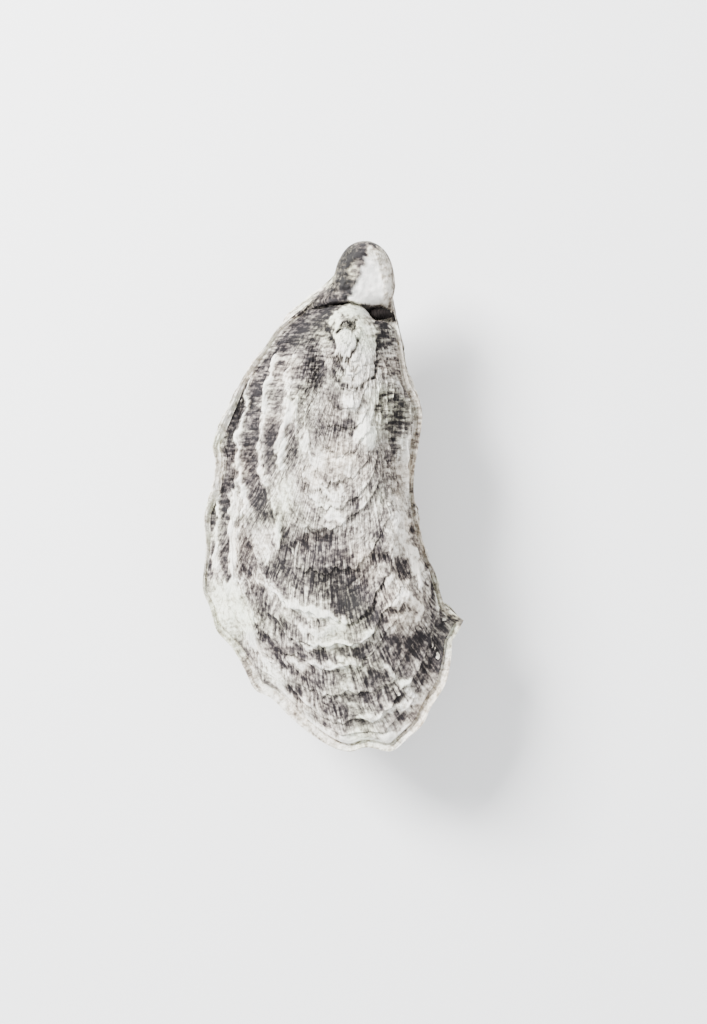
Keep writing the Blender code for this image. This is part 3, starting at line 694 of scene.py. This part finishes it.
# Each shingle's lip by its growth at the bottom and right, then at six turns
# from the upper left to the lower left, its height and its number of rings.
LID_LIPS = [
    ((0.07, (0.1, 0.09, 0.085, 0.08, 0.075, 0.07)), 0.35, 7),
    ((0.105, (0.16, 0.15, 0.135, 0.12, 0.11, 0.105)), 0.35, 6),
    ((0.138, (0.25, 0.225, 0.19, 0.165, 0.15, 0.14)), 0.35, 6),
    ((0.172, (0.29, 0.26, 0.215, 0.19, 0.175, 0.17)), 0.4, 6),
    ((0.212, (0.33, 0.3, 0.25, 0.225, 0.215, 0.21)), 0.45, 7),
    ((0.258, (0.37, 0.34, 0.295, 0.27, 0.26, 0.255)), 0.5, 8),
    ((0.315, (0.43, 0.385, 0.345, 0.32, 0.31, 0.31)), 0.6, 9),
    ((0.385, (0.46, 0.43, 0.385, 0.365, 0.35, 0.375)), 0.6, 10),
    ((0.44, (0.53, 0.475, 0.435, 0.415, 0.395, 0.435)), 0.9, 10),
    ((0.485, (0.66, 0.56, 0.487, 0.495, 0.49, 0.51)), 1.1, 10),
    ((0.6, (0.87, 0.735, 0.675, 0.615, 0.59, 0.595)), 1.3, 16),
    ((0.705, (0.96, 0.906, 0.835, 0.725, 0.715, 0.735)), 1.6, 16),
    ((0.772, (0.97, 0.93, 0.86, 0.745, 0.76, 0.8)), 1.2, 11),
    ((0.815, (0.977, 0.945, 0.88, 0.76, 0.8, 0.87)), 1.1, 10),
    ((0.88, (0.983, 0.96, 0.897, 0.773, 0.845, 0.91)), 1.0, 12),
    ((0.945, (0.988, 0.972, 0.915, 0.79, 0.875, 0.938)), 1.2, 13),
    ((0.975, (0.993, 0.988, 0.98, 0.915, 0.935, 0.962)), 0.8, 10),
    ((1.0, (1.0,) * 6), 0.3, 7)]


def lid_half_width(y, right_side):
    """How far the grown lid reaches to the left or right of its middle line."""
    widths = []
    for side in (-1, 1):
        chain = lid_plan.adult[lid_plan.adult[:, 0] * side > 0]
        chain = chain[np.argsort(chain[:, 1])]
        widths.append(np.interp(y - UMBO[1], chain[:, 1], np.abs(chain[:, 0])))
    return np.maximum(np.where(right_side, widths[1], widths[0]), 2.0)


def lid_dome(plan):
    """The lid's own rounding: a long left slope and a steep right flank."""
    x, y = plan[..., 0], plan[..., 1]
    top = UMBO[1] + lid_plan.adult[:, 1].max()
    along = np.clip((top - y) / (top - LIP_END[1]), 0, 1)
    crest = 0.15 + 0.45 * np.exp(-((along - 0.53) / 0.24) ** 2)
    off_middle = x - middle(y, UMBO, UPPER_BOW)
    side = off_middle / lid_half_width(y, off_middle > 0)
    right = side > crest
    away = np.abs(side - crest) / np.where(right, 1 - crest, 1 + crest)
    across = np.clip(1 - np.minimum(away, 1) ** np.where(right, 2.4, 1.7), 0, 1)
    return LID_HEIGHT * (along + 0.04) ** 0.35 * (1 - along ** 2.6) * across


def lid_forms(plan):
    """The bumps, hollows, ridges and grooves of this one shell."""
    total = np.zeros(plan.shape[:-1])
    for centre, radii, rise in LID_BUMPS.values():
        total += rise * mounds(plan, centre, radii)
    for start, end, half_width, rise in LID_RIDGES.values():
        start, line = np.array(start), np.array(end) - np.array(start)
        share_along = np.clip((plan - start) @ line / (line @ line), 0, 1)
        distance = np.linalg.norm(plan - start - share_along[..., None] * line, axis=-1)
        total += rise * np.exp(-(distance / half_width) ** 2)
    return total


def lid_surface(growth):
    """The lid's top without its shingles."""
    plan, _ = lid_plan.ring(growth)
    taper = np.maximum(1 - growth ** 9, 0) ** 0.6
    height = seam_level(plan, growth ** 2) + EDGE_THICKNESS + taper * (lid_dome(plan) + lid_forms(plan))
    return np.concatenate([plan, height[..., None]], axis=-1)


LEFT_TURN, RIGHT_TURN, FLANK_TURN = 0.24, 0.68, 0.12
left_side = np.exp(-((turn_share - LEFT_TURN) / FLANK_TURN) ** 2)
right_side = np.exp(-((turn_share - RIGHT_TURN) / FLANK_TURN) ** 2)
BARE_LID = 0.40
HOLLOW_DEPTH = 0.9
# Bands, hollows and crests of this one shell, in its own tone with painted shade in the bands, hollows
# and pits and painted highlight on the crests: darkness, half-width, path.
LID_STROKES = [
    # Painted shade in hollows, and grey fields.
    (0.92, 2.6, ((-10.5, 35), (-6.5, 39.4), (-2.5, 42), (0.5, 43.6))),
    (0.66, 2.8, ((-5.5, 37), (-5, 32), (-5.5, 26.5))),
    (0.62, 2.7, ((-0.6, 22.5), (-1.2, 19), (0, 14.8))),
    (0.56, 3.8, ((-4, -43), (4, -43.5), (12, -44))),
    (0.56, 2.8, ((-3, -47.5), (4, -48.5), (11, -48))),
    (0.45, 1.8, ((-1.5, -52.6), (5, -53.4), (12, -52.8))),
    (0.42, 1.4, ((-18.6, -40), (-16.4, -43), (-12.8, -45.4))),
    (0.74, 3.4, ((-8.5, -12.5), (-3, -13.5), (2, -15.5))),
    (0.72, 4.8, ((-7, -18), (0, -19.5), (5, -21.5))),
    (0.84, 3.6, ((2.5, -25), (8, -26.5), (11, -28))),
    (0.76, 2.6, ((-14, -16.4), (-11, -16.6))),
    (0.52, 1.6, ((-10, -21.6), (-5, -23.4))),
    (0.4, 1.6, ((-6, -3.5), (-4.5, -6))),
    (0.36, 3, ((5, -8), (6, -11))),
    (0.7, 4.6, ((12, -34), (18, -37))),
    (0.88, 3.2, ((19, -33.2), (22, -35.5))),
    (0.9, 2.4, ((24.6, -31.5), (24.6, -36))),
    (0.8, 2.6, ((22, -38.6), (23.6, -39.4))),
    (0.68, 2.8, ((15, -40), (18.6, -42.2))),
    (0.86, 1, ((25.4, -29), (29, -29.3))),
    (0.48, 2, ((16.2, 24), (16.2, 17), (15.4, 11))),
    (0.74, 1.5, ((14.8, 22), (14.7, 18), (13.9, 14), (12.9, 10.5), (12.4, 8))),
    (0.5, 1.6, ((11.4, 12.5), (10.8, 8), (11, 3))),
    (0.1, 1.7, ((17.6, 12), (17.3, 6), (17, 2))),
    (0.6, 1.5, ((11.4, 22.5), (10.8, 19.6))),
    (0.14, 1.7, ((9.2, 27.5), (9, 23))),
    (0.54, 2, ((13.2, 38), (13.6, 32), (14.2, 28))),
    (0.86, 1.4, ((11.4, 40), (11.2, 37), (11, 34.5))),
    (0.5, 1.6, ((7.6, 3.5), (8.8, 0))),
    (0.42, 1.2, ((13.6, -1.5), (13.8, -6))),
    (0.2, 1.4, ((16, -0.5), (15.6, -5))),
    (0.16, 1.9, ((12.8, -9.5), (14.4, -12.4))),
    (0.18, 2.4, ((-9.5, 2), (-11.5, -2))),
    (0.25, 2, ((-16, -9), (-15, -13))),
    (0.12, 2.4, ((-26, -21), (-24.6, -26.5), (-22.5, -31))),
    (0.4, 1.4, ((13, -30), (17, -30.6))),
    (0.35, 1.3, ((0.5, -32.4), (4.5, -32))),
    (0.4, 0.8, ((-11, -27), (-7, -28.3))),
    # Dark bands between the crests, in the shell's tone with painted shade, from the left edge in and on
    # to the bottom.
    (0.8, 1, ((-25.8, 4), (-25.2, 0.5), (-25, -4), (-25.1, -8), (-25.2, -12), (-25.2, -16),
     (-24.9, -19.5))),
    (0.72, 0.5, ((-27.2, 1), (-27.5, -3), (-28, -5.5), (-28.2, -8))),
    (0.72, 0.5, ((-27.8, -11), (-28.1, -14), (-28.3, -17.5))),
    (0.78, 1.5, ((-21, 26), (-21.7, 22), (-22.3, 18), (-23.6, 14), (-23.9, 10), (-23.5, 5),
     (-22.6, 1))),
    (0.74, 0.9, ((-9.6, 36.5), (-13.8, 32.5), (-16, 30))),
    (0.78, 0.8, ((-21.4, 22.5), (-21.5, 19))),
    (0.74, 1.9, ((-15.5, 29), (-17, 26), (-17.8, 22), (-18.4, 18), (-19.2, 14), (-19.3, 10), (-18.6, 5),
     (-17.8, 1))),
    (0.74, 2.3, ((-16.6, -1.5), (-16, -4))),
    (0.85, 1.3, ((-13.8, 31.8), (-12, 29))),
    (0.48, 1.6, ((-12.8, 28), (-13.2, 22), (-13.2, 18))),
    (0.7, 1.5, ((-13.8, 15.5), (-14.2, 12), (-14.2, 8.5), (-14.4, 6.5))),
    (0.72, 1.4, ((-9.3, 13.5), (-9.2, 10.5), (-9.6, 7.5))),
    (0.66, 1.2, ((-19.3, -9.5), (-19.8, -13), (-19.5, -17))),
    (0.8, 1, ((-19.9, -17), (-19.6, -19.8))),
    (0.68, 1.6, ((-18.6, -21), (-17.3, -24), (-14.2, -27.5), (-12, -30), (-9.5, -32), (-6.5, -33))),
    (0.78, 1, ((-14.6, -27.8), (-12.8, -29.6), (-10.6, -30.6))),
    (0.76, 1.4, ((-12, -35.8), (-8, -35.8), (-4, -36.6), (0.5, -36.8), (4, -36.2), (8.5, -36))),
    (0.66, 1, ((-9, -40.8), (-4, -41.2), (1, -41.4))),
    (0.7, 0.9, ((14.8, -50.6), (18, -50.8), (21, -49.6))),
    (1, 1.4, ((-16.8, 27), (-17.8, 23.5), (-18.2, 20.5))),
    (0.66, 1.2, ((-9.6, -31.6), (-7.6, -33.2))),
    (0.2, 1.2, ((-18.6, -27.5), (-17.2, -31.5))),
    # The right flank's dark bands: painted shade on the flank turned from the light.
    (0.8, 0.8, ((18.8, 1), (18.9, -3), (18.2, -6.6), (17.6, -8.6))),
    (0.64, 0.8, ((18.6, -10), (19.9, -13.5), (20.9, -16.6))),
    (0.68, 0.8, ((21.8, -19.6), (22.5, -23), (22.9, -26), (23, -29))),
    (0.6, 0.5, ((23.8, -17.5), (25.2, -22), (25.6, -27))),
    # Pale crests of the left side, painted highlight, and the thin lines beside them.
    (0, 0.45, ((-19.4, 28), (-19.8, 24.5), (-20.2, 21.5), (-20.4, 18.3), (-21.4, 15.8), (-21.9, 13.2),
     (-21.4, 10.6), (-21.5, 7.6), (-21.1, 4.8), (-20.4, 2), (-20.4, -1), (-20.9, -5))),
    (0, 0.8, ((-21.5, 15.6), (-21.8, 13.4))),
    (0, 0.75, ((-21.2, 10.6), (-21, 9.2))),
    (0, 0.6, ((-12.8, 32), (-14.2, 29), (-14.7, 26.5), (-15.5, 23.5), (-15.9, 20.5), (-15.9, 18.3),
     (-16.3, 15.5), (-16.5, 12.5), (-17, 10.2), (-17, 7.5), (-16.4, 5), (-15.4, 2.5))),
    (0, 0.55, ((-10.3, 29.5), (-10.5, 26), (-10.2, 23))),
    (0, 1.15, ((-10, 22), (-9.7, 20), (-10.3, 17.6))),
    (0, 0.7, ((-10.6, 17.5), (-11.4, 14.8), (-12, 12), (-12.3, 9.5), (-12, 7.2), (-11.3, 6.3))),
    (0.05, 0.7, ((-8.6, 21.5), (-8.8, 18.5))),
    (0.05, 0.8, ((-6.5, 14.5), (-6.2, 11.5), (-6, 8.5))),
    (0.55, 0.35, ((-8.1, 17.6), (-7.6, 14.6))),
    (0, 1.05, ((-22.7, 0.5), (-22.9, -4), (-23, -9), (-22.9, -14), (-23, -19), (-22.6, -24),
     (-20.5, -28))),
    (0.02, 0.45, ((-26.6, -0.5), (-26.8, -5), (-27, -10), (-27.1, -17))),
    (0.15, 0.3, ((-17, -17.5), (-14, -20), (-12, -22))),
    (0, 1.6, ((-19.6, -30.6), (-18, -35), (-15.2, -39), (-12.4, -42.6), (-10, -46.6))),
    (0.42, 0.35, ((-21.4, -31.8), (-19.4, -35), (-17, -38), (-14.6, -41))),
    (0.8, 0.7, ((-17.4, -30.2), (-16, -32.6), (-14.2, -34.6), (-12.8, -36.8), (-11, -39),
     (-9.6, -40.6))),
    # Pale crests of the middle and the bottom, painted highlight, and the thin lines beside them.
    (0, 0.55, ((-16, -20), (-13, -22.6), (-10.5, -24.4))),
    (0, 1, ((-9.5, -25), (-6, -26.4), (-2.8, -27.6), (0.5, -28.6), (2, -29))),
    (0.62, 0.3, ((-5.5, -28.1), (-2.4, -28.5), (-0.6, -29.2))),
    (0, 0.9, ((-6.6, -30.8), (-3.6, -31.4), (-1, -30.2), (1.6, -29.6))),
    (0.02, 0.5, ((-7.8, -34.2), (-3.5, -34.4), (1, -34.5), (4.5, -34.1), (7.2, -33))),
    (0, 0.8, ((7.4, -32.3), (8.6, -32))),
    (0, 0.55, ((-9, -38.5), (-5, -38.7), (-1, -38.8), (3, -39), (5, -38.4))),
    (0.05, 0.4, ((1.2, -37), (4.2, -37.8))),
    (0.05, 0.65, ((12.5, -49.6), (15.5, -48.6), (18.5, -48), (21.2, -47.4))),
    (0.1, 0.5, ((5, -50.9), (9, -50.8), (12.5, -50))),
    (0.15, 0.5, ((12, -39.6), (15, -42.2), (17.2, -44.6), (18.6, -46.2))),
    (0.28, 0.8, ((26.6, -37), (25.6, -41.5), (23.5, -45))),
    (0, 1.6, ((-11.5, -48.5), (-8.5, -50.8), (-4, -54.2), (0, -56.6), (5, -57.2), (12, -57),
     (16, -55.4), (19.5, -53))),
    (0.1, 2.2, ((-3.5, 8), (0.5, 7.6), (2.5, 7))),
    (0.05, 0.9, ((-5.8, 5.8), (-5, 3.4), (-3, 1.4), (-0.5, 0.4), (1.8, 0.6))),
    (0.62, 0.25, ((-4.4, 1.9), (-2.6, 0.5), (-0.8, -0.5), (2, -0.4))),
    (0.1, 0.7, ((-1.2, -1.3), (1.4, -1.2))),
    (0.05, 1.1, ((-0.6, -4), (1, -4.8), (1.8, -6))),
    (0.42, 0.9, ((-3.4, 5.2), (-2.6, 4.4))),
    (0.05, 0.9, ((-12.4, -4.6), (-12.4, -7.5), (-12.8, -10), (-12.6, -11.6))),
    (0.02, 0.75, ((13.6, -4.5), (14.8, -7.2), (16.2, -10), (17.6, -12.8), (18.6, -15.4), (19.6, -18.4),
     (20.2, -20.6))),
    (0.08, 0.45, ((20.4, -12.2), (22, -15.4), (23.3, -19), (24.2, -23), (24.6, -26.6))),
    # The umbo, its arched pit in painted shade, the scales below it and the two bright crests in painted
    # highlight.
    (0.05, 2.8, ((2.6, 36.5), (3.2, 33.5))),
    (0.08, 2.6, ((7, 37.5), (7.4, 33), (7, 29))),
    (0.1, 3.2, ((4.5, 30), (5, 26.8))),
    (0, 0.8, ((0.5, 41.6), (0.5, 39.6), (1, 37.4))),
    (0.05, 0.9, ((2, 42.4), (5, 42.6), (7, 41.6))),
    (0.62, 1, ((2.2, 38.3), (4.6, 38.6))),
    (1, 0.6, ((1.4, 38.3), (2.4, 39.4), (4.2, 40), (5.3, 39.7))),
    (0.95, 0.5, ((-0.8, 39), (-0.7, 36.5), (0.3, 33.2))),
    (0.92, 0.42, ((0.6, 32.2), (1.8, 30.9), (3.4, 31.2), (5, 33.4), (5.6, 35.8))),
    (0.88, 0.42, ((0.3, 31.4), (1.7, 29.1), (3.8, 28.3), (5.4, 28.7))),
    (0.92, 0.5, ((-0.6, 29.4), (0.6, 26.9), (2.4, 25.2))),
    (0.8, 0.4, ((1.5, 26), (4.2, 24.9), (6.8, 25), (8.6, 26.6))),
    (0.85, 0.42, ((9.9, 35.5), (9.8, 31), (9.6, 27))),
    (0.85, 1.1, ((-3.1, 30), (-3.1, 26.3))),
    (0.7, 0.5, ((-5, 34.5), (-5.3, 32))),
    (0.55, 1.2, ((-7.8, 30), (-7.6, 24))),
    (0.62, 1.2, ((0.2, 20), (2.2, 18.2), (4, 16.3))),
    (0.76, 1, ((3.9, 16.3), (4.2, 14.8))),
    (0.55, 1.3, ((2, 12.5), (4.8, 10.5))),
    (0.6, 0.6, ((0.3, 23.4), (3.4, 23.5))),
    (-0.05, 1.2, ((2.8, 21.8), (4.9, 20.7))),
    (-0.1, 1.6, ((7.1, 17), (7.5, 14), (8.2, 12.2))),
    (0.12, 1.2, ((9, 21), (8.2, 18.4))),
    # Pits in painted shade, and spots.
    (0.9, 1.7, ((-2.6, -10.2), (-1.2, -10.4))),
    (0.82, 1.2, ((-7.6, -10.6), (-7, -11.4))),
    (0.78, 0.9, ((-10.6, -8), (-10.6, -12.2))),
    (0.84, 1.4, ((1, -20), (2.4, -18.6))),
    (0.84, 1.6, ((3.4, -25.2), (5, -24))),
    (0.7, 1, ((4.4, 0.8), (5.2, -1.4), (4.2, -4.2))),
    (0.62, 0.7, ((10, 2.5), (9, -0.4), (8, -3))),
    (0.6, 0.3, ((2, -8.6), (5, -7.6), (7.4, -5.8))),
    (0.55, 0.6, ((11, -5), (10.9, -10.5))),
    (0.78, 1.2, ((10.6, -14), (12.2, -14.4))),
    (0.62, 1.4, ((11.2, -20.5), (12.2, -23.4))),
    (0.86, 1.5, ((15.6, -16), (16.4, -18.2))),
    (0.05, 0.8, ((12.6, -19.4), (13.2, -18.8))),
    (0.8, 0.9, ((-7.6, -35.4), (-5.8, -35.7))),
    (0.82, 1.3, ((8.9, -41.2), (9.2, -42.8))),
    (0.78, 1, ((10.2, -40.6), (12.2, -42))),
    (0.8, 2, ((11.6, -45.2), (14.6, -46))),
    (0.82, 1.5, ((5.6, -46.6), (7.4, -46.8))),
    (0.72, 1.3, ((2.6, -49), (3.2, -51))),
    (0.76, 1.1, ((-9.4, -44.6), (-8.2, -45.4))),
    (0.66, 0.9, ((0, -41.5), (0.6, -43.5))),
    (0.05, 0.7, ((12.8, -25.4), (14.2, -23.6), (15.8, -22.4), (17.6, -22.6), (19.2, -24), (20, -26.4),
     (19.6, -28.6))),
    (0.35, 1.4, ((15.5, -28.4), (17.6, -27.6))),
    (0.78, 0.9, ((14.4, -27.2), (15.6, -25.6), (16.8, -26))),
    (0.1, 0.5, ((22.2, -33), (22.4, -33.1))),
    (0.1, 0.45, ((22.7, -34.2), (22.8, -34.4)))]
top, normal, growth, share, height, speed = grow_shingles(lid_surface, LID_LIPS, 1, 0.34, 90)
height = height * (1 - 0.55 * right_side * ease((growth - 0.2) / 0.1) * ease((0.9 - growth) / 0.1))
crowd = np.minimum(1, speed / ROOMY_SPEED)
at_edge = ease((1.0 - growth) / EDGE_FADE)
paint = painted(BARE_LID + 0.10 * left_side + 0 * growth, top[..., :2], LID_STROKES)
relief = (height * lip_profile(share) + HOLLOW_DEPTH * (BARE_LID - paint)) * crowd
relief += crowd * low_relief(top, growth, share, swells=(0.34, 8.0, 100), ripples=(0.15, 2.8, 101),
                             lines=(0.09, 68, 18, 102), ribs=(0.17, 58, 103), starts=(0.15, 0.30))
small, strength = fine_shingles(top, growth, 25, 105)
relief += 0.36 * strength * lip_profile(small) * crowd
lid_skin = top + normal * (relief * at_edge)[..., None]
under_edge = seam_rings((0.992,), VALVE_GAP)
under = seam_rings(SEAM_SHARES, VALVE_GAP)[::-1]

room = np.clip(height / 0.7, 0, 1)
# The strokes' tone and painted light with contrast raised, and a little painted shade in the hollows and
# painted highlight on the bumps.
lid_dirt_and_painted_light = 0.41 + 1.22 * (paint - 0.42) - 0.05 * lid_forms(top[..., :2])
lid_dirt_and_painted_light += 0.10 * uneven(top, 8, 104)
# Darker at each shingle's foot, under the lip before it, more on the left: painted shade.
lid_dirt_and_painted_light += (0.05 + 0.10 * left_side) * (1 - share) ** 1.5 * ease(growth / 0.25) * room
# Paler towards each lip's edge, more on the left and less on the right flank, and on the small lips:
# painted highlight.
lip_start = 0.84 - 0.06 * left_side + 0.12 * uneven(top, 5, 108)
painted_lip_highlight = 0.24 + 0.10 * left_side - 0.14 * right_side
painted_lip_highlight = painted_lip_highlight * np.clip(0.75 + 0.9 * uneven(top, 6, 109), 0.1, 1.4)
lid_dirt_and_painted_light -= painted_lip_highlight * ease((share - lip_start) / 0.14) * crowd * np.clip(height / 0.9, 0, 1.15)
lid_dirt_and_painted_light -= 0.16 * strength * ease((small - 0.72) / 0.18)
lid_dirt_and_painted_light = np.clip(lid_dirt_and_painted_light, -0.2, 0.88)
lid_rings = np.concatenate([lid_skin, under_edge, under])
hidden = np.zeros((len(under) + 1, STATIONS))
lid_marks = {
    "age": np.concatenate([growth, hidden + 1]),
    "turn": np.broadcast_to(np.column_stack([turn, np.zeros(STATIONS)]), lid_rings.shape),
    "dirt": np.concatenate([lid_dirt_and_painted_light, hidden + 0.2]),
    "worn": np.zeros(lid_rings.shape[:2]),
    "pace": np.concatenate([pace_of(speed), hidden])}
lid_pole = lid_skin[0].mean(axis=0)
lid_middle = (*seam_middle[:2], VALVE_GAP)
upper_valve = shell_mesh("lid_of_shell", lid_pole, lid_rings, lid_middle, lid_marks)
# From pale shell to near black: the dark end gives the dirt and the painted shade alike.
LID_STOPS = [(0.0, (0.85, 0.83, 0.77)), (0.16, (0.61, 0.575, 0.51)), (0.38, (0.33, 0.300, 0.258)),
             (0.60, (0.125, 0.109, 0.100)), (0.85, (0.040, 0.034, 0.034)), (1.0, (0.015, 0.013, 0.014))]
upper_valve.data.materials.append(shell_finish("lid_shell_finish", LID_STOPS, 0.86))
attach(upper_valve, "root")
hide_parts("upper_valve")

# The ligament: the dark horny plug that joins the valves, seen in the pit
# between the beak and the lid. It is a squashed ball with fibres across it.
LIGAMENT_CENTRE = (11.0, 42.1)
LIGAMENT_RADII = (2.5, 1.3)
LIGAMENT_TOP = 2.6
LIGAMENT_CLEARANCE = 1.2
LIGAMENT_BELLY = 0.6
plug = bmesh.new()
bmesh.ops.create_uvsphere(plug, u_segments=64, v_segments=36, radius=1)
for vertex in plug.verts:
    plan = np.array(LIGAMENT_CENTRE) + np.array(LIGAMENT_RADII) * np.array([vertex.co.x, vertex.co.y])
    waist = beak_height(plan[None])[0] + LIGAMENT_CLEARANCE + LIGAMENT_BELLY
    rise = vertex.co.z
    z = waist + rise * (LIGAMENT_BELLY if rise < 0 else LIGAMENT_TOP - waist)
    fibre = 0.10 * np.sin(plan[0] * 9 + np.sin(plan[1] * 3)) * max(rise, 0)
    vertex.co = (MM * plan[0], MM * plan[1], MM * (z + fibre - FOOT_LEVEL))
ligament_mesh = bpy.data.meshes.new("ligament_plug")
plug.to_mesh(ligament_mesh)
plug.free()
ligament_mesh.shade_smooth()
ligament = bpy.data.objects.new("ligament_plug", ligament_mesh)
bpy.context.scene.collection.objects.link(ligament)
horn = Finish("horny_ligament_finish")
horn_place = horn.add("ShaderNodeTexCoord", output="Object")
fibres = horn.grain(horn.vector("MULTIPLY", horn_place, (3.0, 0.6, 0.6)), 900, 3.0)
horn.feed(horn.shader.inputs["Base Color"],
          horn.colours(fibres.clamp(), [(0.3, (0.004, 0.003, 0.003)), (0.7, (0.013, 0.010, 0.009))]))
horn.shader.inputs["Roughness"].default_value = 0.9
horn.shader.inputs["Specular IOR Level"].default_value = 0.1
horn.feed(horn.shader.inputs["Normal"],
          horn.add("ShaderNodeBump", values={"Strength": 0.6, "Distance": 0.0006, "Height": fibres}))
ligament_mesh.materials.append(horn.material)
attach(ligament, "root")
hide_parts("hinge_ligament")

# The studio: a pale floor, a large soft light from the upper left and a
# weaker one opposite, and a camera straight above the oyster.
floor_mesh = bmesh.new()
bmesh.ops.create_grid(floor_mesh, x_segments=1, y_segments=1, size=3.0)
floor_data = bpy.data.meshes.new("floor")
floor_mesh.to_mesh(floor_data)
floor_mesh.free()
floor = bpy.data.objects.new("floor", floor_data)
bpy.context.scene.collection.objects.link(floor)
paper = Finish("pale_floor")
paper.shader.inputs["Base Color"].default_value = (0.90, 0.90, 0.90, 1)
paper.shader.inputs["Roughness"].default_value = 0.9
floor_data.materials.append(paper.material)


LIGHT_AIM = (0, 0, 0.02)


def soft_light(name, place, size, power):
    """A square lamp turned towards the shell."""
    light = bpy.data.lights.new(name, "AREA")
    light.size = size
    light.energy = power
    lamp = bpy.data.objects.new(name, light)
    bpy.context.scene.collection.objects.link(lamp)
    lamp.location = place
    heading = Vector(LIGHT_AIM) - Vector(place)
    lamp.rotation_euler = heading.to_track_quat("-Z", "Y").to_euler()


soft_light("key_light", place=(-0.55, 0.42, 0.50), size=0.32, power=36.0)
soft_light("fill_light", place=(0.5, -0.3, 0.8), size=0.8, power=5.0)
world = bpy.data.worlds.new("studio_air")
world.use_nodes = True
air = world.node_tree.nodes["Background"]
air.inputs["Color"].default_value = (0.95, 0.97, 1.0, 1)
air.inputs["Strength"].default_value = 1.36
bpy.context.scene.world = world

CAMERA_HEIGHT = 0.68
PIXEL = 0.00023
FRAME_HEIGHT_PIXELS = 1024
SHELL_LEVEL = 0.026
VIEW_CENTRE = (0.0047, -0.0037)
SENSOR_HEIGHT = 36.0
camera_data = bpy.data.cameras.new("camera")
camera_data.sensor_fit = "VERTICAL"
camera_data.sensor_height = SENSOR_HEIGHT
camera_data.lens = SENSOR_HEIGHT * (CAMERA_HEIGHT - SHELL_LEVEL) / (PIXEL * FRAME_HEIGHT_PIXELS)
camera = bpy.data.objects.new("camera", camera_data)
bpy.context.scene.collection.objects.link(camera)
camera.location = (*VIEW_CENTRE, CAMERA_HEIGHT)
bpy.context.scene.camera = camera
